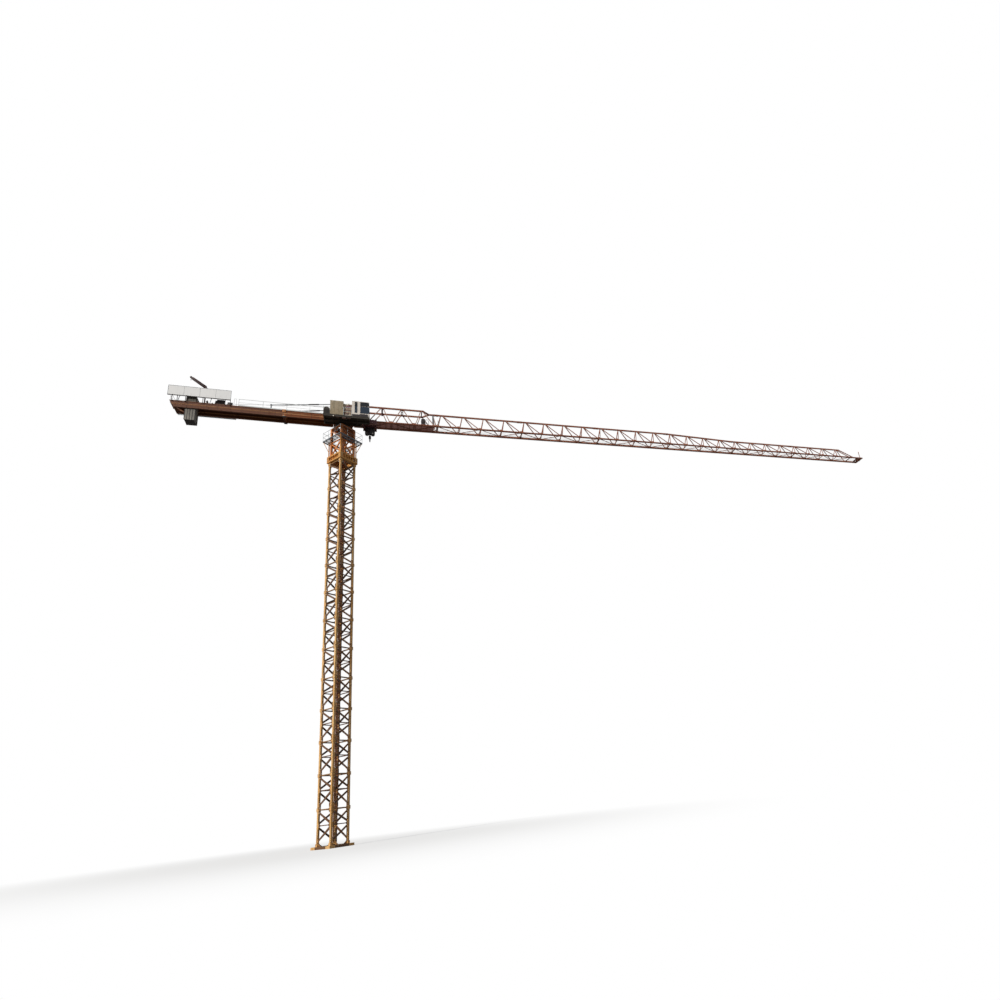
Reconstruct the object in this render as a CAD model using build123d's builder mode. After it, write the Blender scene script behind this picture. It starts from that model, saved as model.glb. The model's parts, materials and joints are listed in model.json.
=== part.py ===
"""Flat-top tower crane at one tenth of its real size.

Millimetres, +Z up, ground level at Z = 0. The slewing axis is the Z axis and the jib points
along +X, rising a little towards its tip. The lattice mast is turned about Z against the jib.
One millimetre here stands for ten on the real crane. Ropes, pins, rope wheels, the hook's bow and
the slewing ring have flat-sided outlines, and bores and shafts that fit something are true circles.
"""

import os
from math import asin, atan2, cos, hypot, radians, sin

from build123d import *

os.makedirs("parts", exist_ok=True)

# Flat-sided outlines
pin_sides = 6
wheel_sides = 10
drum_sides = 12
ring_sides = 24

# Mast
mast_side = 190.0
mast_turn = 41.0
section_height = 290.0
section_count = 13
post_width = 18.0
mast_rail_width = 10.0
mast_brace_width = 9.0
node_gap = 16.0
joint_width = 26.0
joint_height = 30.0

# Base frame
base_side = 250.0
base_beam_width = 42.0
base_beam_height = 22.0
base_height = 45.0
anchor_bore = 6.0
anchor_inset = 15.0

# Mast collar and fixed tower head
collar_side = 218.0
collar_height = 74.0
collar_post_width = 34.0
collar_beam_height = 16.0
head_side = 178.0
head_post_width = 20.0
head_height = 350.0
head_brace_width = 10.0
head_panel_thickness = 3.0
seat_thickness = 8.0

# Ring platform round the tower head
walk_sides = 8
walk_radius = 203.0
walk_thickness = 5.0
walk_level = 184.0
walk_clearance = 1.0
walk_prop_width = 12.0
guard_height = 110.0
guard_inset = 3.0
rail_width = 3.0

# Slewing ring
race_outer_radius = 86.0
race_inner_radius = 66.0
race_height = 12.0
running_gap = 0.3

# Slewing table and the frame that joins jib and counter-jib
table_length = 190.0
table_width = 150.0
table_height = 26.0
frame_half_length = 92.0
frame_post_width = 12.0
jib_rise = 46.0

# Jib
jib_slope = 1.15
bay_length = 250.0
bays_per_section = 4
jib_section_count = 7
chord_spacing = 112.0
chord_width = 14.0
chord_height = 16.0
top_chord_width = 15.0
deep_jib = 190.0
shallow_jib = 150.0
taper_section = 5
lacing_width = 8.0
cross_width = 7.0
cross_bays = 4
top_node_shift = 68.0
foot_gap = 12.0
crown_gap = 10.0
rail_lip = 7.0
rail_lip_thickness = 2.0
jib_root = 108.0
twin_cross_start = 410.0
twin_cross_pitch = 215.0
twin_chord_end = 860.0
ridge_start = 925.0
closing_lean = 33.0
last_ridge_length = 880.0
lug_width = 9.0
counter_lug_level = 12.0

# Jib tip
tip_length = 225.0
strut_width = 8.0
strut_foot_height = 6.0
tip_post_width = 6.0
tip_post_height = 100.0
tip_post_place = 40.0

# Jib deck and trolley winch
deck_start = 172.0
deck_end = 975.0
deck_thickness = 3.0
deck_clearance = 0.5
trolley_winch_place = 856.0
trolley_winch_radius = 17.0
trolley_winch_width = 52.0
trolley_winch_foot = 44.0
trolley_winch_plate = 4.0
winch_drum_clearance = 3.0
winch_cover_gap = 6.0
winch_cover_top = 106.0

# Counter-jib
counter_root = 104.0
counter_joint = 580.0
counter_end = 1620.0
counter_end_slant = 42.0
counter_half_width = 64.0
counter_depth = 75.0
counter_top = 45.0
beam_flange = 13.0
beam_web = 4.0
beam_flange_thickness = 5.0
counter_deck_thickness = 3.0
counter_cross_width = 8.0
slab_opening_margin = 6.0

# Walkway along the far side of the counter-jib
walkway_start = 1062.0
walkway_end = 1590.0
walkway_width = 66.0
walkway_level = 4.0
walkway_thickness = 4.0

# Counterweights
slab_count = 4
slab_thickness = 20.5
slab_gap = 2.3
slab_start = 1391.0
slab_side_clearance = 2.0
slab_bottom = -162.0
slab_top = 124.0
ear_height = 14.0
ear_reach = 9.0

# Handrails and ties of the counter-jib
hand_height = 86.0
hand_spacing = 225.0
hand_posts = 5
tie_radius = 4.2
tie_lug_place = 707.0
tie_lug_height = 60.0
tie_lug_width = 10.0
tie_lug_thickness = 7.0
tie_line_inset = 8.5
tie_clearance = 0.8

# Sign board
sign_start = 1080.0
sign_end = 1640.0
sign_bottom = 104.0
sign_height = 110.0
sign_thickness = 3.0
sign_post_width = 5.0
sign_post_shares = (0.1, 0.5, 0.95)
sign_standoff = 8.0

# Hoist winch
winch_place = 1188.0
drum_radius = 17.0
drum_length = 56.0
drum_shift = 12.0
drum_flange_radius = 24.0
drum_flange_thickness = 3.0
winch_frame_length = 80.0
winch_plate_thickness = 5.0
winch_plate_height = 62.0
winch_motor_length = 22.0
winch_motor_height = 40.0

# Derrick on the counter-jib
derrick_place = 1316.0
derrick_offset = 56.0
derrick_post_radius = 6.0
derrick_post_top = 222.0
derrick_boom_length = 188.0
derrick_boom_angle = 37.5
derrick_boom_width = 17.0
derrick_cap_radius = 10.0
derrick_cap_height = 14.0

# Cab side platform, cab and cabinets
platform_start = -186.0
platform_end = 276.0
platform_outer = 226.0
platform_thickness = 8.0
platform_drop = 62.0
cab_start = 97.0
cab_length = 180.0
cab_width = 124.0
cab_height = 190.0
cab_wall = 5.0
cab_rake = 14.0
cab_inner_gap = 101.0
glass_thickness = 2.5
sill_height = 42.0
pillar = 8.0
transom_drop = 62.0
transom_height = 6.0
glass_place = 85.0
slot_place = 41.0
slot_width = 25.0
cabinet_start = -120.0
cabinet_length = 130.0
cabinet_depth = 88.0
cabinet_height = 177.0
cabinet_setback = 10.0
locker_length = 78.0
locker_depth = 56.0
locker_height = 160.0
locker_setback = 18.0
resistor_gap = 2.0
resistor_length = 62.0
resistor_depth = 60.0
resistor_height = 92.0
guard_rail_height = 108.0

# Trolley
trolley_place = 277.0
trolley_half_length = 72.0
wheel_radius = 10.0
wheel_width = 5.0
wheel_place = 48.0
axle_radius = 2.0
axle_seat = 1.0
side_plate_thickness = 3.5
side_clearance = 5.0
cheek_thickness = 3.0
plate_cover = 5.0
trolley_drop = 38.0
cross_beam = 9.0

# Rope wheels and ropes
sheave_width = 7.0
rim_thickness = 1.2
trolley_sheave_radius = 12.0
rope_radius = 1.2
rope_depth = 10.0
root_wheel_place = 150.0
root_wheel_radius = 12.0
head_wheel_radius = 17.5
rope_anchor = 7.0

# Hook block and hook
block_clearance = 8.0
block_height = 98.0
block_plate = 4.0
block_plate_gap = 6.0
block_corner = 12.0
block_sheave_radius = 18.0
block_sheave_place = 30.0
lobe_radius = 22.0
crosshead_length = 20.0
crosshead_height = 10.0
crosshead_lift = 30.0
hook_shank_radius = 4.5
hook_drop = 84.0
hook_inner_radius = 11.0
hook_width = 10.0
hook_thickness = 10.0
nut_radius = 8.0
nut_height = 8.0

# Levels and places worked out from the sizes above
mast_top = base_height + section_count * section_height
collar_top = mast_top + collar_height
head_top = collar_top + head_height
race_bottom = head_top + seat_thickness
race_split = race_bottom + race_height
table_bottom = race_split + running_gap + race_height
table_top = table_bottom + table_height
jib_level = table_top + jib_rise
half_spacing = chord_spacing / 2
jib_section_length = bay_length * bays_per_section
jib_end = jib_section_length * jib_section_count
tip_end = jib_end + tip_length
jib_place = Location((0, 0, jib_level), (0, -jib_slope, 0))


def bar(start, end, width, height=None):
    """Square or flat bar from one point to another, added to the part in hand."""
    line = Vector(*end) - Vector(*start)
    across = Vector(0, 0, 1).cross(line)
    if across.length < 1e-6:
        across = Vector(1, 0, 0)
    with BuildSketch(Plane(origin=start, x_dir=across, z_dir=line)) as profile:
        Rectangle(width, height or width)
    extrude(profile.sketch, amount=line.length)


def rod(start, end, radius, sides=pin_sides):
    """Flat-sided round bar from one point to another, added to the part in hand."""
    line = Vector(*end) - Vector(*start)
    with BuildSketch(Plane(origin=start, z_dir=line)) as profile:
        RegularPolygon(radius, sides)
    extrude(profile.sketch, amount=line.length)


def block(low, high):
    """Box between two opposite corners, added to the part in hand."""
    size = [high[i] - low[i] for i in range(3)]
    middle = tuple((high[i] + low[i]) / 2 for i in range(3))
    with Locations(middle):
        Box(*size)


def wheel(x, y, z, radius, width, bore):
    """Flat-sided disc with its axis along Y, from y onwards, with a bore over its pin."""
    with BuildSketch(Plane.XZ.offset(-y - width)) as disc:
        with Locations((x, z)):
            RegularPolygon(radius, wheel_sides)
            RegularPolygon(bore, pin_sides, major_radius=False, mode=Mode.SUBTRACT)
    extrude(disc.sketch, amount=width)


def rope_wheel(x, z, radius):
    """Grooved rope wheel whose rope runs at the given radius, centred on y = 0."""
    core_width = sheave_width - 2 * rim_thickness
    bore = axle_radius + running_gap
    wheel(x, -core_width / 2, z, radius - rope_radius - running_gap, core_width, bore)
    for y in (-sheave_width / 2, sheave_width / 2 - rim_thickness):
        wheel(x, y, z, radius + rope_radius, rim_thickness, bore)


def on_jib(x, y, z):
    """Place of a point that is given along, across and square to the rising jib."""
    rise = radians(jib_slope)
    return (x * cos(rise) - z * sin(rise), y, jib_level + x * sin(rise) + z * cos(rise))


def save(piece, label):
    """Name a finished solid and write it to its own file."""
    piece.label = label
    export_step(piece, f"parts/{label}.step")


# Base frame: a square ring of beams bolted to the ground, with a stub under each mast post
post_centre = (mast_side - post_width) / 2
mast_plane = Plane.XY.rotated((0, 0, mast_turn))
anchor_place = base_side / 2 - anchor_inset
with BuildPart() as base_frame:
    with BuildSketch(mast_plane):
        Rectangle(base_side, base_side)
        Rectangle(base_side - 2 * base_beam_width, base_side - 2 * base_beam_width, mode=Mode.SUBTRACT)
        with GridLocations(2 * anchor_place, 2 * anchor_place, 2, 2):
            Circle(anchor_bore / 2, mode=Mode.SUBTRACT)
    extrude(amount=base_beam_height)
    with BuildSketch(mast_plane.offset(base_beam_height)):
        with GridLocations(2 * post_centre, 2 * post_centre, 2, 2):
            Rectangle(joint_width, joint_width)
    extrude(amount=base_height - base_beam_height)
save(base_frame.part, "base_frame")


def lattice_tower(side, post, rail, brace, height, rail_levels):
    """Square lattice tower: four posts, rails at the given levels and a zigzag brace on each face."""
    centre = (side - post) / 2
    corners = [(-centre, -centre), (centre, -centre), (centre, centre), (-centre, centre)]
    with BuildPart() as tower:
        with BuildSketch():
            with GridLocations(2 * centre, 2 * centre, 2, 2):
                Rectangle(post, post)
        extrude(amount=height)
        for (ax, ay), (bx, by) in zip(corners, corners[1:] + corners[:1]):
            for level in rail_levels:
                bar((ax, ay, level), (bx, by, level), rail)
            top = rail_levels[-1] - node_gap
            bar((ax, ay, top), (bx, by, height / 2 + node_gap), brace)
            bar((bx, by, height / 2 - node_gap), (ax, ay, node_gap), brace)
    return tower.part


# Mast: like sections stacked on the base, each with thick bolted corners at its top
with BuildPart() as mast_section:
    add(lattice_tower(mast_side, post_width, mast_rail_width, mast_brace_width, section_height,
                      [section_height - joint_height / 2]))
    with BuildSketch(Plane.XY.offset(section_height - joint_height)):
        with GridLocations(2 * post_centre, 2 * post_centre, 2, 2):
            Rectangle(joint_width, joint_width)
    extrude(amount=joint_height)
for number in range(section_count):
    level = base_height + number * section_height
    placed = mast_section.part.moved(Location((0, 0, level), (0, 0, mast_turn)))
    save(placed, f"mast_section_{number + 1:02d}")

# Collar: the wider frame that carries the fixed head on the top mast section
collar_plane = mast_plane.offset(mast_top)
collar_centre = (collar_side - collar_post_width) / 2
collar_inner = collar_side - 2 * collar_post_width
with BuildPart() as mast_collar:
    with BuildSketch(collar_plane):
        with GridLocations(2 * collar_centre, 2 * collar_centre, 2, 2):
            Rectangle(collar_post_width, collar_post_width)
    extrude(amount=collar_height)
    for level in (0, collar_height - collar_beam_height):
        with BuildSketch(collar_plane.offset(level)):
            Rectangle(collar_side, collar_side)
            Rectangle(collar_inner, collar_inner, mode=Mode.SUBTRACT)
        extrude(amount=collar_beam_height)
save(mast_collar.part, "mast_collar")

# Fixed tower head: lattice on three faces, a plate on the fourth, and a seat for the slewing ring
panel_place = (head_side - head_post_width) / 2
with BuildPart() as tower_head:
    add(lattice_tower(head_side, head_post_width, head_brace_width, head_brace_width, head_height,
                      [head_height / 2, head_height - head_brace_width / 2]))
    with BuildSketch(Plane.XY.offset(head_height)):
        Rectangle(head_side, head_side)
        RegularPolygon(race_inner_radius, drum_sides, mode=Mode.SUBTRACT)
    extrude(amount=seat_thickness)
    block(
        (panel_place - head_panel_thickness / 2, -panel_place, head_height / 2),
        (panel_place + head_panel_thickness / 2, panel_place, head_height),
    )
save(tower_head.part.moved(Location((0, 0, collar_top), (0, 0, mast_turn - 90))), "tower_head")

# Ring platform: an eight-sided floor round the head, on four props that stand on the collar
walk_floor = collar_top + walk_level
walk_hole = head_side + 2 * walk_clearance
with BuildPart() as ring_platform:
    with BuildSketch(mast_plane.offset(walk_floor)):
        RegularPolygon(walk_radius, walk_sides)
        Rectangle(walk_hole, walk_hole, mode=Mode.SUBTRACT)
    extrude(amount=walk_thickness)
    prop_place = walk_hole / 2 + walk_prop_width / 2
    with BuildSketch(mast_plane.offset(collar_top)):
        with GridLocations(2 * prop_place, 2 * prop_place, 2, 2):
            Rectangle(walk_prop_width, walk_prop_width)
    extrude(amount=walk_level)
save(ring_platform.part, "ring_platform")

guard_radius = walk_radius - guard_inset
guard_base = walk_floor + walk_thickness
with BuildPart() as ring_guard_rail:
    with BuildSketch(mast_plane.offset(guard_base + guard_height - rail_width)):
        RegularPolygon(guard_radius, walk_sides)
        RegularPolygon(guard_radius - rail_width, walk_sides, mode=Mode.SUBTRACT)
    extrude(amount=rail_width)
    with BuildSketch(mast_plane.offset(guard_base)):
        with PolarLocations(guard_radius - rail_width, walk_sides):
            Rectangle(rail_width, rail_width)
    extrude(amount=guard_height)
save(ring_guard_rail.part, "ring_guard_rail")

# Slewing ring: fixed lower race and turning upper race
with BuildPart() as lower_race:
    with BuildSketch(Plane.XY.offset(race_bottom)):
        RegularPolygon(race_outer_radius, ring_sides)
        RegularPolygon(race_inner_radius, ring_sides, mode=Mode.SUBTRACT)
    extrude(amount=race_height)
save(lower_race.part, "lower_race")

with BuildPart() as upper_race:
    with BuildSketch(Plane.XY.offset(race_split + running_gap)):
        RegularPolygon(race_outer_radius, ring_sides)
        RegularPolygon(race_inner_radius, ring_sides, mode=Mode.SUBTRACT)
    extrude(amount=race_height)
save(upper_race.part, "upper_race")

# Slewing table: the turning deck on the upper race
with BuildPart() as slewing_table:
    with BuildSketch(Plane.XY.offset(table_bottom)):
        Rectangle(table_length, table_width)
        RegularPolygon(race_inner_radius, drum_sides, mode=Mode.SUBTRACT)
    extrude(amount=table_height)
save(slewing_table.part, "slewing_table")

# Head frame: four posts between the jib and the counter-jib, tied and braced on its sides,
# with lugs for both and the pin of the head rope wheel
ridge_height = jib_level + deep_jib
frame_top = ridge_height + top_chord_width / 2
frame_x = frame_half_length - frame_post_width / 2
counter_lug_height = jib_level + counter_lug_level
with BuildPart() as head_frame:
    for x in (-frame_x, frame_x):
        for y in (-half_spacing, half_spacing):
            bar((x, y, table_top), (x, y, frame_top), frame_post_width)
        for level in (jib_level, ridge_height):
            bar((x, -half_spacing, level), (x, half_spacing, level), lacing_width)
    for y in (-half_spacing, half_spacing):
        bar((-frame_x, y, ridge_height), (frame_x, y, ridge_height), lacing_width)
        bar((-frame_x, y, jib_level), (frame_x, y, ridge_height - foot_gap), lacing_width)
        for level in (0, deep_jib):
            bar(on_jib(frame_x, y, level), on_jib(jib_root, y, level), lug_width)
        bar((-frame_x, y, counter_lug_height), (-counter_root, y, counter_lug_height), lug_width)
    rod((0, -half_spacing, ridge_height), (0, half_spacing, ridge_height), axle_radius)
save(head_frame.part, "head_frame")


def chord_pair(start, end):
    """The two bottom chords, each with the outer lip that the trolley wheels run on."""
    for side in (-1, 1):
        y = side * half_spacing
        block((start, y - chord_width / 2, -chord_height / 2), (end, y + chord_width / 2, chord_height / 2))
        inner, outer = sorted((y + side * chord_width / 2, y + side * (chord_width / 2 + rail_lip)))
        block((start, inner, -chord_height / 2), (end, outer, -chord_height / 2 + rail_lip_thickness))


def ridge_chord(start, end, start_depth, end_depth):
    """The single top chord, straight between two stations, with ends square to the bottom chords."""
    half = top_chord_width / 2
    with BuildSketch(Plane.XZ.offset(-half)) as outline:
        with BuildLine():
            Polyline(
                (start, start_depth - half),
                (start, start_depth + half),
                (end, end_depth + half),
                (end, end_depth - half),
                close=True,
            )
        make_face()
    extrude(outline.sketch, amount=top_chord_width)


def cross_bars(places, level, width):
    """Bars across the jib from chord to chord."""
    for x in places:
        bar((x, -half_spacing, level), (x, half_spacing, level), width)


# Jib section 1: twin top chords over the trolley winch that draw in to the single ridge
first_feet = [bay_length * index for index in range(1, bays_per_section)]
twin_crosses = [twin_cross_start + twin_cross_pitch * index for index in range(len(first_feet))]
root_place = jib_root + chord_width / 2
root_wheel_level = root_wheel_radius - rope_depth
with BuildPart() as jib_section_1:
    chord_pair(jib_root, jib_section_length)
    cross_bars([root_place, *first_feet], 0, cross_width)
    cross_bars([root_place, *twin_crosses], deep_jib, cross_width)
    for side in (-1, 1):
        y = side * half_spacing
        block(
            (jib_root, y - chord_width / 2, deep_jib - top_chord_width / 2),
            (twin_chord_end, y + chord_width / 2, deep_jib + top_chord_width / 2),
        )
        bar((twin_chord_end - chord_width / 2, y, deep_jib), (ridge_start, 0, deep_jib), chord_width,
            top_chord_width)
        bar((root_place, y, 0), (root_place, y, deep_jib), lacing_width)
        for foot, left, right in zip(first_feet, [root_place, *twin_crosses[:-1]], twin_crosses):
            bar((left + crown_gap, y, deep_jib), (foot - foot_gap, y, 0), lacing_width)
            bar((foot + foot_gap, y, 0), (right - crown_gap, y, deep_jib), lacing_width)
        last_foot = jib_section_length - 2 * foot_gap
        bar((twin_crosses[-1] + crown_gap, y, deep_jib), (last_foot, y, 0), lacing_width)
        bar((jib_section_length - cross_width, y, 0), (jib_section_length - closing_lean, 0, deep_jib),
            lacing_width)
    block(
        (ridge_start - chord_width / 2, -top_chord_width / 2, deep_jib - top_chord_width / 2),
        (jib_section_length, top_chord_width / 2, deep_jib + top_chord_width / 2),
    )
    rod(
        (root_wheel_place, -half_spacing, root_wheel_level),
        (root_wheel_place, half_spacing, root_wheel_level),
        axle_radius,
    )
save(jib_section_1.part.moved(jib_place), "jib_section_1")


def jib_lattice(start_depth, end_depth, ridge_length):
    """One triangular jib section: chords, cross bars, and a steep and a long lacing pair in each bay."""
    taper = (end_depth - start_depth) / jib_section_length
    with BuildPart() as lattice:
        chord_pair(0, jib_section_length)
        ridge_chord(0, ridge_length, start_depth, start_depth + taper * ridge_length)
        for index in range(bays_per_section):
            node = bay_length * index
            if index % cross_bays == 0:
                cross_bars([max(node, cross_width)], 0, cross_width)
            crown = node + top_node_shift
            crown_depth = start_depth + taper * crown
            for y in (-half_spacing, half_spacing):
                bar((node + foot_gap, y, 0), (crown - crown_gap, 0, crown_depth), lacing_width)
                bar((crown + crown_gap, 0, crown_depth), (node + bay_length - foot_gap, y, 0), lacing_width)
    return lattice.part


# Jib sections 2 to 7: deep sections, one that tapers, shallow sections, and the last whose ridge
# ends over its last lacing
deep_section = jib_lattice(deep_jib, deep_jib, jib_section_length)
taper_lattice = jib_lattice(deep_jib, shallow_jib, jib_section_length)
shallow_section = jib_lattice(shallow_jib, shallow_jib, jib_section_length)
last_section = jib_lattice(shallow_jib, shallow_jib, last_ridge_length)
for number in range(2, jib_section_count + 1):
    if number < taper_section:
        section = deep_section
    elif number == taper_section:
        section = taper_lattice
    elif number < jib_section_count:
        section = shallow_section
    else:
        section = last_section
    placed = section.moved(jib_place * Location(((number - 1) * jib_section_length, 0, 0)))
    save(placed, f"jib_section_{number}")

# Jib tip: short end frame with a strut from the ridge's end, a post and the anchor of the rope
ridge_end = jib_end - jib_section_length + last_ridge_length
end_cross = tip_end - cross_width
anchor_low = -rope_depth - rope_anchor / 2
tip_post_x = tip_end - tip_post_place
with BuildPart() as jib_tip:
    chord_pair(jib_end, tip_end)
    cross_bars([jib_end + cross_width, end_cross], 0, cross_width)
    with BuildSketch(Plane.XZ.offset(-strut_width / 2)):
        with BuildLine():
            Polyline(
                (ridge_end, shallow_jib - top_chord_width / 2),
                (ridge_end, shallow_jib + top_chord_width / 2),
                (end_cross, strut_foot_height / 2),
                (end_cross, -strut_foot_height / 2),
                close=True,
            )
        make_face()
    extrude(amount=strut_width)
    block(
        (tip_post_x - tip_post_width / 2, -half_spacing - tip_post_width / 2, 0),
        (tip_post_x + tip_post_width / 2, -half_spacing + tip_post_width / 2, tip_post_height),
    )
    block((tip_end - rope_anchor, -rope_anchor / 2, anchor_low), (tip_end, rope_anchor / 2, 0))
save(jib_tip.part.moved(jib_place), "jib_tip")

# Deck inside jib section 1, with the trolley winch on it
deck_level = cross_width / 2
deck_top = deck_level + deck_thickness
deck_half = half_spacing - chord_width / 2 - deck_clearance
with BuildPart() as jib_deck:
    block((deck_start, -deck_half, deck_level), (deck_end, deck_half, deck_top))
save(jib_deck.part.moved(jib_place), "jib_deck")

winch_axis = deck_top + trolley_winch_radius + winch_drum_clearance
half_winch = trolley_winch_width / 2
cover_start = trolley_winch_place - trolley_winch_foot / 2
cover_end = trolley_winch_place + trolley_winch_foot / 2
with BuildPart() as trolley_winch:
    rod((trolley_winch_place, -half_winch, winch_axis), (trolley_winch_place, half_winch, winch_axis),
        trolley_winch_radius, drum_sides)
    for y in (-half_winch, half_winch - trolley_winch_plate):
        block((cover_start, y, deck_top), (cover_end, y + trolley_winch_plate, winch_cover_top))
    block(
        (cover_start, -half_winch, winch_axis + trolley_winch_radius + winch_cover_gap),
        (cover_end, half_winch, winch_cover_top),
    )
save(trolley_winch.part.moved(jib_place), "trolley_winch")


def counter_beams(start, end, slant):
    """The two deep flanged beams of a counter-jib section, with the tail end cut on a slant."""
    top = jib_level + counter_top
    low = top - counter_depth
    for side in (-1, 1):
        y = side * (counter_half_width - beam_flange / 2)
        with BuildSketch(Plane.XZ.offset(-y - beam_web / 2)) as web:
            with BuildLine():
                Polyline((-start, low), (-start, top), (-end, top), (-end + slant, low), close=True)
            make_face()
        extrude(web.sketch, amount=beam_web)
        for level, reach in ((low, end - slant), (top - beam_flange_thickness, end)):
            block(
                (-reach, y - beam_flange / 2, level),
                (-start, y + beam_flange / 2, level + beam_flange_thickness),
            )


def counter_cross(places):
    """Low cross members between the webs of the counter-jib beams."""
    level = jib_level + counter_top - counter_depth + beam_flange_thickness + counter_cross_width / 2
    web_inner = counter_half_width - (beam_flange + beam_web) / 2
    for x in places:
        bar((-x, -web_inner, level), (-x, web_inner, level), counter_cross_width)


# Counter-jib: an inner and an outer section, pinned together, each with its deck plates
counter_deck_level = jib_level + counter_top - beam_flange_thickness
inner_half = counter_half_width - beam_flange
with BuildPart() as counter_jib_inner:
    counter_beams(counter_root, counter_joint, 0)
    block(
        (-counter_joint, -inner_half, counter_deck_level),
        (-counter_root, inner_half, counter_deck_level + counter_deck_thickness),
    )
    counter_cross([counter_root + counter_cross_width, counter_joint - counter_cross_width])
save(counter_jib_inner.part, "counter_jib_inner")

slab_pitch = slab_thickness + slab_gap
slab_end = slab_start + slab_count * slab_pitch - slab_gap
tail_low = counter_end - counter_end_slant
with BuildPart() as counter_jib_outer:
    counter_beams(counter_joint, counter_end, counter_end_slant)
    decks = ((counter_joint, slab_start - slab_opening_margin), (slab_end + slab_opening_margin, tail_low))
    for near, far in decks:
        block(
            (-far, -inner_half, counter_deck_level),
            (-near, inner_half, counter_deck_level + counter_deck_thickness),
        )
    counter_cross([counter_joint + counter_cross_width, tail_low - counter_cross_width])
save(counter_jib_outer.part, "counter_jib_outer")

# Walkway of light grating, bolted to the web of the far beam
web_outer = counter_half_width - (beam_flange - beam_web) / 2
with BuildPart() as far_walkway:
    block(
        (-walkway_end, web_outer, jib_level + walkway_level),
        (-walkway_start, counter_half_width + walkway_width, jib_level + walkway_level + walkway_thickness),
    )
save(far_walkway.part, "far_walkway")

# Counterweights: concrete slabs hung between the beams by ears that rest on the top flanges
slab_half = inner_half - slab_side_clearance
counter_deck_top = jib_level + counter_top
with BuildPart() as counterweights:
    for index in range(slab_count):
        place = slab_start + index * slab_pitch
        with BuildSketch(Plane.YZ.offset(-place - slab_thickness)):
            with BuildLine():
                Polyline(
                    (-slab_half, jib_level + slab_bottom),
                    (slab_half, jib_level + slab_bottom),
                    (slab_half, counter_deck_top),
                    (slab_half + ear_reach, counter_deck_top),
                    (slab_half + ear_reach, counter_deck_top + ear_height),
                    (slab_half, jib_level + slab_top),
                    (-slab_half, jib_level + slab_top),
                    (-slab_half - ear_reach, counter_deck_top + ear_height),
                    (-slab_half - ear_reach, counter_deck_top),
                    (-slab_half, counter_deck_top),
                    close=True,
                )
            make_face()
        extrude(amount=slab_thickness)
save(counterweights.part, "counterweights")

# Handrails along the counter-jib, standing on the beams
hand_start = counter_root + rail_width
hand_end = hand_start + hand_spacing * (hand_posts - 1)
hand_places = [hand_start + hand_spacing * index for index in range(hand_posts)]
with BuildPart() as counter_guard_rail:
    for side in (-1, 1):
        y = side * (counter_half_width - rail_width / 2)
        for x in hand_places:
            bar((-x, y, counter_deck_top), (-x, y, counter_deck_top + hand_height), rail_width)
        level = counter_deck_top + hand_height - rail_width / 2
        bar((-hand_start, y, level), (-hand_end, y, level), rail_width)
save(counter_guard_rail.part, "counter_guard_rail")

# Ties from the head frame to lugs on the counter-jib beams
tie_y = counter_half_width - tie_line_inset
tie_low = counter_deck_top + tie_lug_height - tie_lug_width / 2
tie_high = frame_top - frame_post_width
tie_end = -frame_half_length - tie_clearance
with BuildPart() as counter_ties:
    for side in (-1, 1):
        y = side * tie_y
        block(
            (-tie_lug_place - tie_lug_width / 2, y - tie_lug_thickness / 2, counter_deck_top),
            (-tie_lug_place + tie_lug_width / 2, y + tie_lug_thickness / 2, tie_low + tie_lug_width / 2),
        )
        rod((-tie_lug_place, y, tie_low), (tie_end, y, tie_high), tie_radius)
save(counter_ties.part, "counter_ties")

# Sign board on posts bolted to the outside of the near beam
sign_y = -counter_half_width - sign_standoff
sign_low = jib_level + sign_bottom
with BuildPart() as sign_frame:
    for share in sign_post_shares:
        x = -(sign_start + (tail_low - sign_start) * share)
        block(
            (x - sign_post_width / 2, sign_y, counter_deck_top - beam_flange_thickness),
            (x + sign_post_width / 2, -counter_half_width, counter_deck_top),
        )
        block(
            (x - sign_post_width / 2, sign_y, counter_deck_top),
            (x + sign_post_width / 2, sign_y + sign_post_width, sign_low + sign_height),
        )
    block((-sign_end, sign_y, sign_low - sign_post_width), (-sign_start, sign_y + sign_post_width, sign_low))
save(sign_frame.part, "sign_frame")

with BuildPart() as sign_board:
    block(
        (-sign_end, sign_y - sign_thickness, sign_low - sign_post_width),
        (-sign_start, sign_y, sign_low + sign_height),
    )
save(sign_board.part, "sign_board")

# Hoist winch on the outer counter-jib: two plates, a motor housing and the flanged drum
winch_deck = counter_deck_level + counter_deck_thickness
drum_axis = winch_deck + winch_plate_height / 2 + drum_flange_thickness
plate_inner = drum_length / 2 + running_gap
winch_start = -winch_place - winch_frame_length / 2
winch_end = -winch_place + winch_frame_length / 2
with BuildPart() as hoist_winch:
    for side in (-1, 1):
        inner, outer = sorted((side * plate_inner, side * (plate_inner + winch_plate_thickness)))
        block((winch_start, inner, winch_deck), (winch_end, outer, winch_deck + winch_plate_height))
    block((winch_start, -plate_inner, winch_deck),
          (winch_start + winch_motor_length, plate_inner, winch_deck + winch_motor_height))
save(hoist_winch.part, "hoist_winch")

drum_place = winch_place - drum_shift
with BuildPart() as hoist_drum:
    rod((-drum_place, -drum_length / 2, drum_axis), (-drum_place, drum_length / 2, drum_axis), drum_radius,
        drum_sides)
    for y in (-drum_length / 2, drum_length / 2 - drum_flange_thickness):
        rod((-drum_place, y, drum_axis), (-drum_place, y + drum_flange_thickness, drum_axis),
            drum_flange_radius, drum_sides)
save(hoist_drum.part, "hoist_drum")

# Derrick: post on the near beam and the boom that turns on it
derrick_top = jib_level + derrick_post_top
with BuildPart() as derrick_post:
    with BuildSketch(Plane.XY.offset(counter_deck_top)):
        with Locations((-derrick_place, -derrick_offset)):
            Circle(derrick_post_radius)
    extrude(amount=derrick_top - counter_deck_top)
save(derrick_post.part, "derrick_post")

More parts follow.
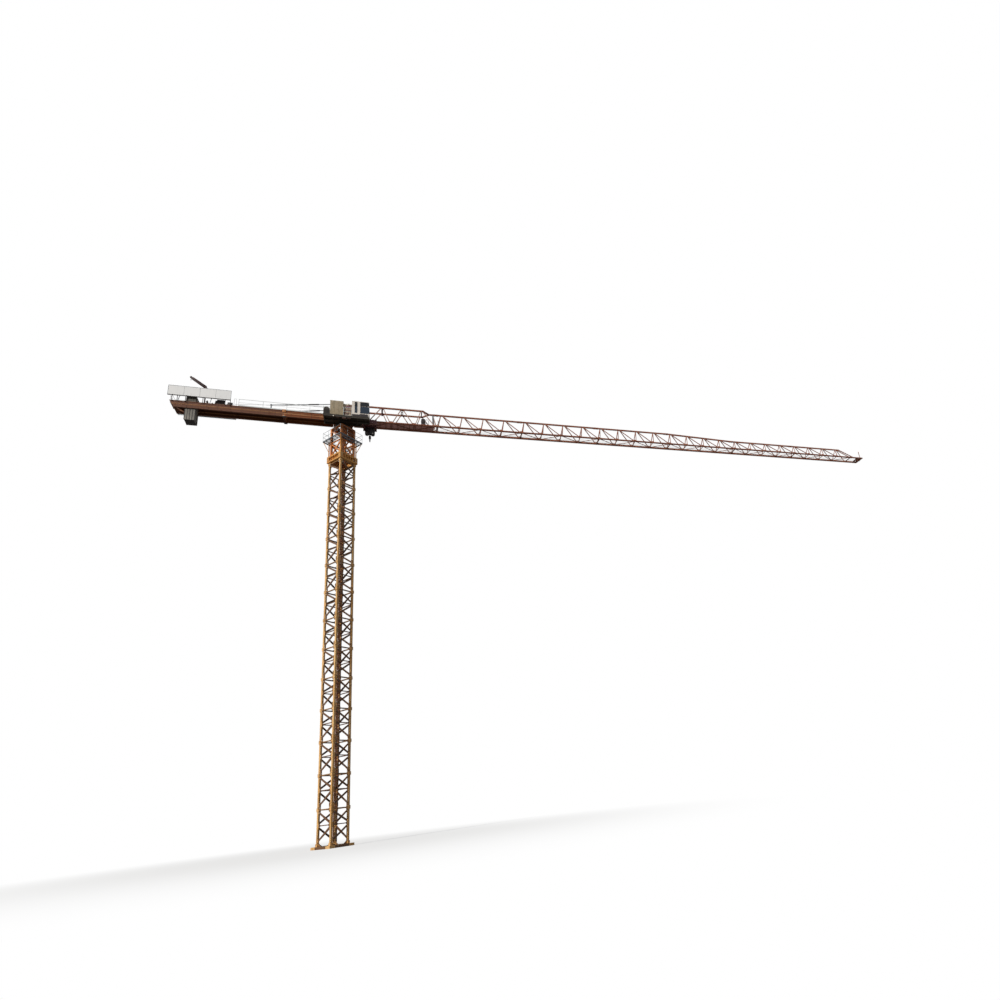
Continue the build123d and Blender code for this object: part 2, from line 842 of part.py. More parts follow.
boom_run = derrick_boom_length * cos(radians(derrick_boom_angle))
boom_rise = derrick_boom_length * sin(radians(derrick_boom_angle))
cap_low = derrick_top + running_gap
boom_foot = cap_low + derrick_cap_height
with BuildPart() as derrick_boom:
    rod((-derrick_place, -derrick_offset, cap_low), (-derrick_place, -derrick_offset, boom_foot),
        derrick_cap_radius, wheel_sides)
    bar((-derrick_place, -derrick_offset, boom_foot),
        (-derrick_place - boom_run, -derrick_offset, boom_foot + boom_rise), derrick_boom_width)
save(derrick_boom.part, "derrick_boom")

# Side platform that carries the cab and the cabinets, on the side of the slewing table
platform_top = jib_level - platform_drop
platform_low = platform_top - platform_thickness
cab_inner = -cab_inner_gap
with BuildPart() as cab_platform:
    block((platform_start, -platform_outer, platform_low), (cab_start, -table_width / 2, platform_top))
    block((cab_start, -platform_outer, platform_low), (platform_end, cab_inner, platform_top))
save(cab_platform.part, "cab_platform")


def cab_outline(inset):
    """Side outline of the cab, drawn in by the given distance."""
    with BuildLine() as outline:
        Polyline(
            (cab_start + inset, platform_top + inset),
            (cab_front - cab_rake - inset, platform_top + inset),
            (cab_front - inset, platform_top + sill_height),
            (cab_front - cab_rake / 2 - inset, platform_top + cab_height - inset),
            (cab_start + inset, platform_top + cab_height - inset),
            close=True,
        )
    return outline.line


# Cab: a hollow shell with window openings and a raked front, and its panes
cab_outer = cab_inner - cab_width
cab_front = cab_start + cab_length
cab_middle = (cab_inner + cab_outer) / 2
glass_start = cab_start + glass_place
window_low = platform_top + sill_height
window_high = platform_top + cab_height - pillar
window_middle = (window_low + window_high) / 2
window_length = cab_front - cab_rake - pillar - glass_start
slot_centre = cab_start + slot_place
transom_low = platform_top + cab_height - transom_drop
with BuildPart() as cab_shell:
    with BuildSketch(Plane.XZ.offset(-cab_inner)):
        add(cab_outline(0))
        make_face()
    extrude(amount=cab_width)
    with BuildSketch(Plane.XZ.offset(-cab_inner + cab_wall)):
        add(cab_outline(cab_wall))
        make_face()
    extrude(amount=cab_width - 2 * cab_wall, mode=Mode.SUBTRACT)
    for low, high in ((window_low, transom_low), (transom_low + transom_height, window_high)):
        with Locations((glass_start + window_length / 2, cab_middle, (low + high) / 2)):
            Box(window_length, 2 * cab_width, high - low, mode=Mode.SUBTRACT)
        with Locations((cab_front, cab_middle, (low + high) / 2)):
            Box(2 * (cab_wall + cab_rake), cab_width - 2 * pillar, high - low, mode=Mode.SUBTRACT)
    with Locations((slot_centre, cab_outer, window_middle)):
        Box(slot_width, 3 * cab_wall, window_high - window_low, mode=Mode.SUBTRACT)
save(cab_shell.part, "cab_shell")

# Cab panes: each window's upper and lower pane, the slot's pane and the two panes of the raked front
pane_gap = (cab_wall - glass_thickness) / 2
front_lean = cab_rake / 2 / (cab_height - sill_height)
with BuildPart() as cab_glass:
    for low, high in ((window_low, transom_low), (transom_low + transom_height, window_high)):
        for y in (cab_inner - pane_gap - glass_thickness, cab_outer + pane_gap):
            block((glass_start, y, low), (glass_start + window_length, y + glass_thickness, high))
        with BuildSketch(Plane.XZ.offset(-cab_middle - cab_width / 2 + pillar)):
            with BuildLine():
                low_x = cab_front - pane_gap - front_lean * (low - window_low)
                high_x = cab_front - pane_gap - front_lean * (high - window_low)
                Polyline(
                    (low_x, low),
                    (high_x, high),
                    (high_x - glass_thickness, high),
                    (low_x - glass_thickness, low),
                    close=True,
                )
            make_face()
        extrude(amount=cab_width - 2 * pillar)
    block((slot_centre - slot_width / 2, cab_outer + pane_gap, window_low),
          (slot_centre + slot_width / 2, cab_outer + pane_gap + glass_thickness, window_high))
save(cab_glass.part, "cab_glass")

# Control cabinet with a locker beside it and the resistor housing on the side platform,
# and the rail between cabinet and cab
cabinet_outer = -platform_outer + cabinet_setback
cabinet_end = cabinet_start + cabinet_length
locker_outer = cabinet_outer + locker_setback
with BuildPart() as control_cabinet:
    block((cabinet_start, cabinet_outer, platform_top),
          (cabinet_end, cabinet_outer + cabinet_depth, platform_top + cabinet_height))
    block((cabinet_end, locker_outer, platform_top),
          (cabinet_end + locker_length, locker_outer + locker_depth, platform_top + locker_height))
save(control_cabinet.part, "control_cabinet")

resistor_middle = cabinet_start - resistor_gap - resistor_length / 2
resistor_shoulder = platform_top + resistor_height - resistor_length / 2
with BuildPart() as resistor_box:
    with BuildSketch(Plane.XZ.offset(-cabinet_outer - resistor_depth)):
        with Locations((resistor_middle, (platform_top + resistor_shoulder) / 2)):
            Rectangle(resistor_length, resistor_shoulder - platform_top)
        with Locations((resistor_middle, resistor_shoulder)):
            RegularPolygon(resistor_length / 2, wheel_sides)
    extrude(amount=resistor_depth)
save(resistor_box.part, "resistor_box")

with BuildPart() as platform_rail:
    rail_start = cabinet_end + rail_width
    rail_end = cab_start - rail_width
    rail_top = platform_top + guard_rail_height
    for x in (rail_start, rail_end):
        bar((x, cabinet_outer, platform_top), (x, cabinet_outer, rail_top), rail_width)
    level = rail_top - rail_width / 2
    bar((rail_start, cabinet_outer, level), (rail_end, cabinet_outer, level), rail_width)
save(platform_rail.part, "platform_rail")

# Trolley: two cheeks round the rope wheels, two cross beams and two side plates with the wheel pins
lip_top = -chord_height / 2 + rail_lip_thickness
wheel_axis = lip_top + running_gap + wheel_radius
wheel_inner = half_spacing + chord_width / 2 + running_gap
side_inner = half_spacing + chord_width / 2 + rail_lip + side_clearance
side_outer = side_inner + side_plate_thickness
sheave_axis = -rope_depth - trolley_sheave_radius
cheek_inner = sheave_width / 2 + running_gap
cheek_outer = cheek_inner + cheek_thickness
fall_outer = block_sheave_place + block_sheave_radius
fall_inner = block_sheave_place - block_sheave_radius
trolley_start = trolley_place - trolley_half_length
trolley_end = trolley_place + trolley_half_length
outer_sheave = fall_outer + trolley_sheave_radius
with BuildPart() as trolley_frame:
    for side in (-1, 1):
        near, far = sorted((side * cheek_inner, side * cheek_outer))
        block((trolley_start, near, -trolley_drop), (trolley_end, far, sheave_axis + plate_cover))
        near, far = sorted((side * side_inner, side * side_outer))
        block((trolley_start, near, -trolley_drop), (trolley_end, far, wheel_axis + plate_cover))
        near, far = sorted((side * cheek_outer, side * side_inner))
        for x in (trolley_start, trolley_end - cross_beam):
            block((x, near, -trolley_drop), (x + cross_beam, far, cross_beam - trolley_drop))
        near, far = side * wheel_inner, side * (side_inner + axle_seat)
        for x in (trolley_place - wheel_place, trolley_place + wheel_place):
            rod((x, far, wheel_axis), (x, near, wheel_axis), axle_radius)
    for x in (-outer_sheave, 0, outer_sheave):
        rod((trolley_place + x, -cheek_inner - axle_seat, sheave_axis),
            (trolley_place + x, cheek_inner + axle_seat, sheave_axis), axle_radius)
save(trolley_frame.part.moved(jib_place), "trolley_frame")

with BuildPart() as trolley_wheels:
    for x in (trolley_place - wheel_place, trolley_place + wheel_place):
        for y in (-wheel_inner - wheel_width, wheel_inner):
            wheel(x, y, wheel_axis, wheel_radius, wheel_width, axle_radius + running_gap)
save(trolley_wheels.part.moved(jib_place), "trolley_wheels")

with BuildPart() as trolley_rope_wheels:
    rope_wheel(trolley_place - outer_sheave, sheave_axis, trolley_sheave_radius)
    rope_wheel(trolley_place, sheave_axis, fall_inner)
    rope_wheel(trolley_place + outer_sheave, sheave_axis, trolley_sheave_radius)
save(trolley_rope_wheels.part.moved(jib_place), "trolley_rope_wheels")

# Hook block: two cheek plates with a lobe round each rope wheel, and a crosshead for the hook
fall_x, _, falls_top = on_jib(trolley_place, 0, sheave_axis)
block_high = on_jib(trolley_start, 0, -trolley_drop)[2] - block_clearance
block_low = block_high - block_height
block_axis = block_low + lobe_radius
block_inner = sheave_width / 2 + block_plate_gap
block_half_length = block_sheave_place + lobe_radius
block_wheel_places = (fall_x - block_sheave_place, fall_x + block_sheave_place)
crosshead_low = block_low + crosshead_lift
crosshead_top = crosshead_low + crosshead_height
with BuildPart() as hook_block:
    for y in (-block_inner - block_plate, block_inner):
        with BuildSketch(Plane.XZ.offset(-y - block_plate)):
            with BuildLine():
                Polyline(
                    (fall_x - block_half_length, block_axis),
                    (fall_x - block_half_length, block_high - block_corner),
                    (fall_x - block_half_length + block_corner, block_high),
                    (fall_x + block_half_length - block_corner, block_high),
                    (fall_x + block_half_length, block_high - block_corner),
                    (fall_x + block_half_length, block_axis),
                    close=True,
                )
            make_face()
            with Locations(*[(x, block_axis) for x in block_wheel_places]):
                RegularPolygon(lobe_radius, wheel_sides)
        extrude(amount=block_plate)
    for x in block_wheel_places:
        rod((x, -block_inner - axle_seat, block_axis), (x, block_inner + axle_seat, block_axis), axle_radius)
    block((fall_x - crosshead_length / 2, -block_inner, crosshead_low),
          (fall_x + crosshead_length / 2, block_inner, crosshead_top))
    with BuildSketch(Plane.XY.offset(crosshead_low)):
        with Locations((fall_x, 0)):
            Circle(hook_shank_radius + running_gap)
    extrude(amount=crosshead_height, mode=Mode.SUBTRACT)
save(hook_block.part, "hook_block")

with BuildPart() as block_rope_wheels:
    for x in block_wheel_places:
        rope_wheel(x, block_axis, block_sheave_radius)
save(block_rope_wheels.part, "block_rope_wheels")

# Four rope falls between the trolley and the block
with BuildPart() as rope_falls:
    for x in (-fall_outer, -fall_inner, fall_inner, fall_outer):
        rod((fall_x + x, 0, block_axis), (fall_x + x, 0, falls_top), rope_radius)
save(rope_falls.part, "rope_falls")

# Hook: shank through the crosshead with its nut on top, and the bow below, open to one side
hook_eye = block_low - hook_drop + 2 * (hook_inner_radius + hook_width)
bow_level = hook_eye - hook_inner_radius - hook_width
nut_low = crosshead_top + running_gap
with BuildPart() as hook:
    with BuildSketch(Plane.XY.offset(hook_eye - hook_width / 2)):
        with Locations((fall_x, 0)):
            Circle(hook_shank_radius)
    extrude(amount=nut_low + nut_height - hook_eye + hook_width / 2)
    rod((fall_x, 0, nut_low), (fall_x, 0, nut_low + nut_height), nut_radius)
    with BuildSketch(Plane.YZ.offset(fall_x - hook_thickness / 2)):
        with Locations((0, bow_level)):
            RegularPolygon(hook_inner_radius + hook_width, wheel_sides)
            RegularPolygon(hook_inner_radius, wheel_sides, mode=Mode.SUBTRACT)
        with Locations((hook_inner_radius + hook_width / 2, bow_level + hook_inner_radius)):
            Rectangle(hook_inner_radius + hook_width, hook_inner_radius + hook_width, mode=Mode.SUBTRACT)
    extrude(amount=hook_thickness)
save(hook.part, "hook")

# Rope wheels of the upper works: one on the head frame and one at the jib root
root_wheel_x, _, root_wheel_z = on_jib(root_wheel_place, 0, root_wheel_level)
with BuildPart() as head_rope_wheels:
    rope_wheel(0, ridge_height, head_wheel_radius)
    rope_wheel(root_wheel_x, root_wheel_z, root_wheel_radius)
save(head_rope_wheels.part, "head_rope_wheels")


def tangent_rope(first, first_radius, second, second_radius):
    """Straight rope from wheel to wheel; a negative radius means that it passes under the wheel."""
    run = hypot(second[0] - first[0], second[1] - first[1])
    lean = atan2(second[1] - first[1], second[0] - first[0])
    lean += asin((second_radius - first_radius) / run)
    normal = (-sin(lean), cos(lean))
    ends = []
    for centre, radius in ((first, first_radius), (second, second_radius)):
        ends.append((centre[0] + radius * normal[0], 0, centre[1] + radius * normal[1]))
    rod(ends[0], ends[1], rope_radius)


# Hoist rope: drum to head wheel, down to the root wheel, and along under the jib to its anchor
rope_end = tip_end - rope_anchor - running_gap
with BuildPart() as hoist_rope:
    tangent_rope((-drum_place, drum_axis), drum_radius + rope_radius + running_gap,
                 (0, ridge_height), head_wheel_radius)
    tangent_rope((0, ridge_height), head_wheel_radius, (root_wheel_x, root_wheel_z), -root_wheel_radius)
    rod(on_jib(root_wheel_place, 0, -rope_depth), on_jib(rope_end, 0, -rope_depth), rope_radius)
save(hoist_rope.part, "hoist_rope")
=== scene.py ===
"""Looks of the tower crane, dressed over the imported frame. Lengths are millimetres until a piece is made."""

import json
from functools import partial
from math import cos, pi, radians, sin

import bmesh
import bpy
from mathutils import Matrix, Vector


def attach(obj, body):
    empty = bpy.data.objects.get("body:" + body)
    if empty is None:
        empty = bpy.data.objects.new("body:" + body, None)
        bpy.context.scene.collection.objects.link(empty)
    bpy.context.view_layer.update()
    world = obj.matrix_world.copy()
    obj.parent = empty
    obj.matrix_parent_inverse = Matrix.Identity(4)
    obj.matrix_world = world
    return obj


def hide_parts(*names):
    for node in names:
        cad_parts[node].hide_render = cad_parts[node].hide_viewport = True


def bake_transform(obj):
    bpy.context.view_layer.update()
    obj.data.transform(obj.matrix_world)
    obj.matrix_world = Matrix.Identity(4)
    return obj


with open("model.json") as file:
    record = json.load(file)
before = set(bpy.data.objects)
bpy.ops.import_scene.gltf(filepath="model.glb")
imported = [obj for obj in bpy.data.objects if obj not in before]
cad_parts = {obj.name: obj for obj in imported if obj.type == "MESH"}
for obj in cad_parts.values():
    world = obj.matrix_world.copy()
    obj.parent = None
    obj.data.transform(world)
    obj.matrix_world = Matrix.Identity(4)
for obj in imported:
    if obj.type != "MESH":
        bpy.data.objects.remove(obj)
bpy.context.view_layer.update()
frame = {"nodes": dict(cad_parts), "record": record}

MM = 0.001

# Levels and sizes of the crane, as its solids have them
JIB_LEVEL = 4343.3
JIB_RISE = radians(1.15)
MAST_TURN = radians(41)
BASE_TOP = 45
SECTION = 290
SECTIONS = 13
MAST_TOP = BASE_TOP + SECTION * SECTIONS
COLLAR_TOP = MAST_TOP + 74
HEAD_TOP = COLLAR_TOP + 350
WALK_TOP = COLLAR_TOP + 189
WALK_REACH = 142
RACE_LOW = HEAD_TOP + 8
RACE_SPLIT = RACE_LOW + 12
TABLE_LOW = RACE_SPLIT + 12.3
TABLE_TOP = TABLE_LOW + 26
POST_PLACE = 86
LADDER_X = 20
CHORD_PLACE = 56
JIB_SECTION = 1000
DEEP = 190
SHALLOW = 150
BAY = 250
DECK_TOP = 45
PLATFORM_TOP = -62
CAB_TOP = PLATFORM_TOP + 190
SLAB_START = 1391
SLAB_THICK = 20.5
SLAB_PITCH = 22.8
TIE_LUG = 707
RAIL_TUBE = 1.5
SHARP_EDGE = radians(35)

# Outward directions of the mast's four faces
FACES = ((1, 0), (0, 1), (-1, 0), (0, -1))

# Places: each turns a piece's own millimetres into those of the whole crane
GROUND = Matrix.Identity(4)
MAST = Matrix.Rotation(MAST_TURN, 4, "Z")
LEVEL = Matrix.Translation((0, 0, JIB_LEVEL))
JIB = LEVEL @ Matrix.Rotation(-JIB_RISE, 4, "Y")


def along_jib(x):
    return JIB @ Matrix.Translation((x, 0, 0))


def on_face(face, along, out, z):
    """A point given along and out from a face of the mast, in the mast's frame."""
    return (face[0] * out - face[1] * along, face[1] * out + face[0] * along, z)


def circle(centre, across, other, radius, sides):
    turns = [2 * pi * side / sides for side in range(sides)]
    return [centre + (across * cos(turn) + other * sin(turn)) * radius for turn in turns]


class Stock:
    """Bars, plates and rounds in hand, in millimetres, before they are made one piece."""

    def __init__(self):
        self.points = []
        self.faces = []

    def add(self, points, faces):
        base = len(self.points)
        self.points += [Vector(point) for point in points]
        self.faces += [tuple(base + corner for corner in face) for face in faces]
        return self

    def box(self, low, high):
        corners = [(x, y, z) for z in (low[2], high[2]) for y in (low[1], high[1]) for x in (low[0], high[0])]
        sides = [(0, 2, 3, 1), (4, 5, 7, 6), (0, 1, 5, 4), (2, 6, 7, 3), (0, 4, 6, 2), (1, 3, 7, 5)]
        return self.add(corners, sides)

    def both(self, low, high):
        """Two like boxes, one on each side of the crane's middle plane."""
        for side in (-1, 1):
            inner, outer = sorted((side * low[1], side * high[1]))
            self.box((low[0], inner, low[2]), (high[0], outer, high[2]))
        return self

    def rings(self, rings, closed=False):
        """A skin over like rings of points, capped at both ends or joined round."""
        sides = len(rings[0])
        faces = []
        for row in range(len(rings) - (0 if closed else 1)):
            this, after = row * sides, (row + 1) % len(rings) * sides
            for side in range(sides):
                turn = (side + 1) % sides
                faces.append((this + side, this + turn, after + turn, after + side))
        if not closed:
            last = (len(rings) - 1) * sides
            faces += [tuple(range(sides))[::-1], tuple(range(last, last + sides))]
        return self.add([point for ring in rings for point in ring], faces)

    def bar(self, start, end, width, depth=None, up=(0, 0, 1)):
        """Flat or square bar between two points; depth is its size along up."""
        start, end = Vector(start), Vector(end)
        across = (end - start).cross(Vector(up))
        across = (across if across.length > 1e-6 else Vector((1, 0, 0))).normalized()
        rise = across.cross((end - start).normalized())
        half, tall = width / 2, (depth or width) / 2
        square = [(-half, -tall), (half, -tall), (half, tall), (-half, tall)]
        return self.rings([[at + across * a + rise * b for a, b in square] for at in (start, end)])

    def rod(self, start, end, radius, sides=12, end_radius=None):
        start, end = Vector(start), Vector(end)
        line = (end - start).normalized()
        across = line.orthogonal().normalized()
        other = line.cross(across)
        ends = ((start, radius), (end, radius if end_radius is None else end_radius))
        return self.rings([circle(at, across, other, size, sides) for at, size in ends])

    def tube(self, *points):
        """Guard-rail tube from point to point."""
        for start, end in zip(points, points[1:]):
            self.rod(start, end, RAIL_TUBE, 8)
        return self

    def turned(self, profile, centre, axis="Z", sides=48):
        """A closed outline of (radius, height) turned about an upright axis or, with Y, about one across."""
        rings = []
        for side in range(sides):
            c, s = cos(2 * pi * side / sides), sin(2 * pi * side / sides)
            points = [(r * c, h, r * s) if axis == "Y" else (r * c, r * s, h) for r, h in profile]
            rings.append([Vector(centre) + Vector(point) for point in points])
        return self.rings(rings, closed=True)

    def plate(self, outline, start, end, axis="Y"):
        """A flat outline given as two of its coordinates, made thick between start and end of the third."""
        order = {"X": lambda p, at: (at, p[0], p[1]), "Y": lambda p, at: (p[0], at, p[1]),
                 "Z": lambda p, at: (p[0], p[1], at)}[axis]
        return self.rings([[order(point, at) for point in outline] for at in (start, end)])

    def pipe(self, points, radius, sides=8):
        """A round pipe along points, with the same section at each."""
        points = [Vector(point) for point in points]
        rings, across = [], None
        for index, point in enumerate(points):
            line = points[min(index + 1, len(points) - 1)] - points[max(index - 1, 0)]
            line.normalize()
            across = line.orthogonal() if across is None else across - line * across.dot(line)
            across.normalize()
            size = radius(index / (len(points) - 1)) if callable(radius) else radius
            rings.append(circle(point, across, line.cross(across), size, sides))
        return self.rings(rings)


class Signal:
    """A number that changes over a surface. Python's operators add Math nodes to its finish."""

    def __init__(self, finish, socket):
        self.finish = finish
        self.socket = socket

    def math(self, operation, *terms):
        return self.finish.node("ShaderNodeMath", {"operation": operation}, dict(enumerate(terms)))

    def __add__(self, other):
        return self.math("ADD", self, other)

    __radd__ = __add__

    def __sub__(self, other):
        return self.math("SUBTRACT", self, other)

    def __rsub__(self, other):
        return self.math("SUBTRACT", other, self)

    def __mul__(self, other):
        return self.math("MULTIPLY", self, other)

    __rmul__ = __mul__

    def above(self, low, high):
        """0 below low, 1 above high and smooth between."""
        settings = {"interpolation_type": "SMOOTHSTEP"}
        return self.finish.node("ShaderNodeMapRange", settings, {"Value": self, 1: low, 2: high})

    def between(self, start, end):
        """1 from start to end, each given as the two levels that it fades over."""
        return self.above(*start) * (1 - self.above(*end))

    def wrap(self, length):
        return self.math("PINGPONG", self, length / 2)


class Finish:
    """A procedural material. node() adds any node: its type, its settings, then its sockets."""

    def __init__(self, name):
        self.material = bpy.data.materials.new(name)
        self.material.use_nodes = True
        self.tree = self.material.node_tree
        self.tree.nodes.clear()
        self.place = self.node("ShaderNodeTexCoord", {}, {}, "Object")

    def node(self, kind, settings, inputs, output=0):
        made = self.tree.nodes.new(kind)
        for name, value in settings.items():
            setattr(made, name, value)
        for name, value in inputs.items():
            if isinstance(value, Signal):
                self.tree.links.new(value.socket, made.inputs[name])
            else:
                made.inputs[name].default_value = value
        return Signal(self, made.outputs[output])

    def noise(self, scale, detail=3, stretch=None):
        place = self.place
        if stretch:
            place = self.node("ShaderNodeMapping", {}, {"Vector": place, "Scale": stretch})
        return self.node("ShaderNodeTexNoise", {}, {"Vector": place, "Scale": scale, "Detail": detail})

    def cells(self, scale):
        return self.node("ShaderNodeTexVoronoi", {}, {"Vector": self.place, "Scale": scale})

    def axis(self, name):
        return self.node("ShaderNodeSeparateXYZ", {}, {"Vector": self.place}, name)

    def mix(self, share, below, above):
        colours = [value if isinstance(value, Signal) else (*value, 1) for value in (below, above)]
        settings = {"data_type": "RGBA"}
        return self.node("ShaderNodeMix", settings, {0: share, 6: colours[0], 7: colours[1]}, 2)

    def bump(self, height, depth):
        return self.node("ShaderNodeBump", {}, {"Height": height, "Distance": depth, "Strength": 0.6})

    def close(self, **inputs):
        named = {name.replace("_", " "): value for name, value in inputs.items()}
        colour = named["Base Color"]
        named["Base Color"] = colour if isinstance(colour, Signal) else (*colour, 1)
        shader = self.node("ShaderNodeBsdfPrincipled", {}, named)
        self.node_end(shader)
        return self.material

    def node_end(self, shader):
        end = self.tree.nodes.new("ShaderNodeOutputMaterial")
        self.tree.links.new(shader.socket, end.inputs["Surface"])


RUST = (0.10, 0.032, 0.012)
# Soot for rain streaks, also used as painted shade in the openings of gratings
SOOT_AND_SHADE = (0.022, 0.016, 0.014)
# Lighter colour painted as light in a band along the beams' webs
LIT_BAND = (0.46, 0.23, 0.11)
# Painted shade on the mast's braces, darker than the posts they join
BRACE_SHADE = (0.085, 0.034, 0.020)

# Where paints, painted shade and painted light change, in metres: out from the mast's middle, along the jib,
# and up from the jib's level
POST_EDGE = (0.069, 0.073)
FIRST_SECTION_END = (1.02, 1.03)
LACING_LEVELS = (0.030, 0.036), (0.170, 0.180)
# Heights of the beams' webs, which take painted shade, and of the band of painted light along them
SHADED_WEB_LEVELS = (-0.029, -0.024), (0.034, 0.037)
LIT_BAND_LEVELS = (0.002, 0.006), (0.012, 0.017)


def outdoor_paint(name, colour, faded, rust, grime, roughness=0.42, mast=False, beam=None, lacing=None):
    """Machine paint after years outdoors: sun-faded clouds, rain streaks, rust in spots and a slight ripple.

    On the mast the joints rust and the braces are darkened with painted shade. A beam's web is darkened
    with painted shade and has a lighter band of painted light along it, and lacing is the lighter colour
    given to the lacing of the first jib section.
    """
    finish = Finish(name)
    cloud = finish.noise(3.1, 4)
    fine = finish.noise(150, 3)
    streak = finish.noise(1, 4, (70, 70, 6))
    spots = finish.noise(24, 5).above(0.60, 0.72)
    base = finish.mix(cloud.above(0.35, 0.68), colour, faded)
    if mast:
        height = finish.axis("Z") - (BASE_TOP + SECTION / 2) * MM
        near_joint = height.wrap(SECTION * MM).above(0.40 * SECTION * MM, 0.5 * SECTION * MM)
        spots = (spots + near_joint * finish.noise(60, 4).above(0.42, 0.62)).above(0.2, 1)
        turned_back = {"Vector": finish.place, "Rotation": (0, 0, -MAST_TURN)}
        in_mast = finish.node("ShaderNodeMapping", {}, turned_back)
        on_post = 1
        for axis in ("X", "Y"):
            out = finish.node("ShaderNodeSeparateXYZ", {}, {"Vector": in_mast}, axis)
            on_post = out.math("ABSOLUTE", out).above(*POST_EDGE) * on_post
        # The braces take painted shade, half as much near the joints; the posts keep their paint
        base = finish.mix((1 - on_post) * (1 - near_joint * 0.5) * 0.9, base, BRACE_SHADE)
    if lacing:
        level = finish.axis("Z") - JIB_LEVEL * MM
        # The first section's side lacing takes a lighter colour
        first = level.between(*LACING_LEVELS) * (1 - finish.axis("X").above(*FIRST_SECTION_END))
        base = finish.mix(first * 0.7, base, lacing)
    if beam:
        # The web takes a darker colour as painted shade, and a patchy band along it a lighter one as painted
        # light
        level = finish.axis("Z") - JIB_LEVEL * MM
        base = finish.mix(level.between(*SHADED_WEB_LEVELS), base, beam)
        base = finish.mix(level.between(*LIT_BAND_LEVELS) * cloud.above(0.28, 0.5) * 0.85, base, LIT_BAND)
    base = finish.mix(streak.above(0.52, 0.74) * grime, base, SOOT_AND_SHADE)
    base = finish.mix(spots * rust, base, RUST)
    return finish.close(
        Base_Color=base,
        Specular_IOR_Level=0.25,
        Roughness=roughness + spots * 0.3 + fine * 0.12,
        Normal=finish.bump(fine + spots * 2, 0.0006),
    )


def zinc(name, colour, shade):
    """Hot-dip galvanised steel: faint crystals, dulled by rain."""
    finish = Finish(name)
    crystals = finish.cells(110)
    cloud = finish.noise(9, 4)
    base = finish.mix(crystals.above(0.1, 0.75) * 0.6 + cloud * 0.4, colour, shade)
    return finish.close(
        Base_Color=base,
        Roughness=0.38 + cloud * 0.3,
        Metallic=0.45,
        Normal=finish.bump(crystals, 0.0003),
    )


def greased_steel(name, colour, dirt):
    """Machined steel under old grease."""
    finish = Finish(name)
    smear = finish.noise(30, 5)
    scratch = finish.noise(1, 3, (40, 700, 40))
    base = finish.mix(smear.above(0.4, 0.66), colour, dirt)
    return finish.close(
        Base_Color=base,
        Roughness=0.3 + smear * 0.35,
        Metallic=0.8,
        Normal=finish.bump(scratch, 0.0003),
    )


def strand(name):
    """Wire rope: lay of the strands across its run, and grease between them."""
    finish = Finish(name)
    lay = finish.node(
        "ShaderNodeTexWave", {"bands_direction": "DIAGONAL"},
        {"Vector": finish.place, "Scale": 160, "Distortion": 0.4},
    )
    base = finish.mix(lay, (0.035, 0.032, 0.03), (0.19, 0.18, 0.17))
    return finish.close(Base_Color=base, Roughness=0.5, Metallic=0.5, Normal=finish.bump(lay, 0.0006))


def cast_concrete():
    """Cast slabs: pores, cement clouds, water marks and shutter lines."""
    finish = Finish("cast_concrete")
    cloud = finish.noise(14, 5)
    streak = finish.noise(1, 4, (60, 60, 7))
    pores = finish.cells(230).above(0.02, 0.22)
    shutter = finish.axis("Z").wrap(0.06).above(0.0275, 0.03)
    base = finish.mix(cloud.above(0.3, 0.7), (0.30, 0.29, 0.26), (0.20, 0.19, 0.17))
    base = finish.mix(streak.above(0.48, 0.7) * 0.55, base, (0.085, 0.075, 0.066))
    base = finish.mix((1 - pores) * 0.5, base, (0.07, 0.065, 0.06))
    weathered_top = finish.axis("Z").above((JIB_LEVEL + 40) * MM, (JIB_LEVEL + 60) * MM)
    base = finish.mix(weathered_top * 0.6, base, (0.045, 0.042, 0.034))
    return finish.close(
        Base_Color=base,
        Specular_IOR_Level=0.15,
        Roughness=0.85 + cloud * 0.1,
        Normal=finish.bump(pores + cloud - shutter * 2, 0.0012),
    )


def tinted_glass():
    """Dark cab glass: deep blue panes, nearly black above the transom, with a little dust."""
    finish = Finish("tinted_glass")
    dust = finish.noise(18, 4)
    upper = finish.axis("Z").above((JIB_LEVEL + 66) * MM, (JIB_LEVEL + 70) * MM)
    base = finish.mix(upper, (0.012, 0.026, 0.048), (0.004, 0.006, 0.008))
    base = finish.mix(dust.above(0.5, 0.85) * 0.15, base, (0.08, 0.09, 0.10))
    return finish.close(Base_Color=base, Specular_IOR_Level=0.3, Roughness=0.12 + dust * 0.15)


def trodden_grating(name, colour):
    """Open grating seen from far off: close bars with painted shade in the openings between them."""
    finish = Finish(name)
    along = finish.axis("X").wrap(0.010).above(0.0012, 0.0022)
    across = finish.axis("Y").wrap(0.016).above(0.0012, 0.0022)
    gaps = along * across
    wear = finish.noise(40, 4)
    # The openings between bars are darkened with painted shade
    base = finish.mix(gaps * 0.25, colour, SOOT_AND_SHADE)
    base = finish.mix(wear.above(0.5, 0.7) * 0.25, base, RUST)
    return finish.close(
        Base_Color=base, Specular_IOR_Level=0.2, Roughness=0.7, Normal=finish.bump(1 - gaps, 0.002)
    )


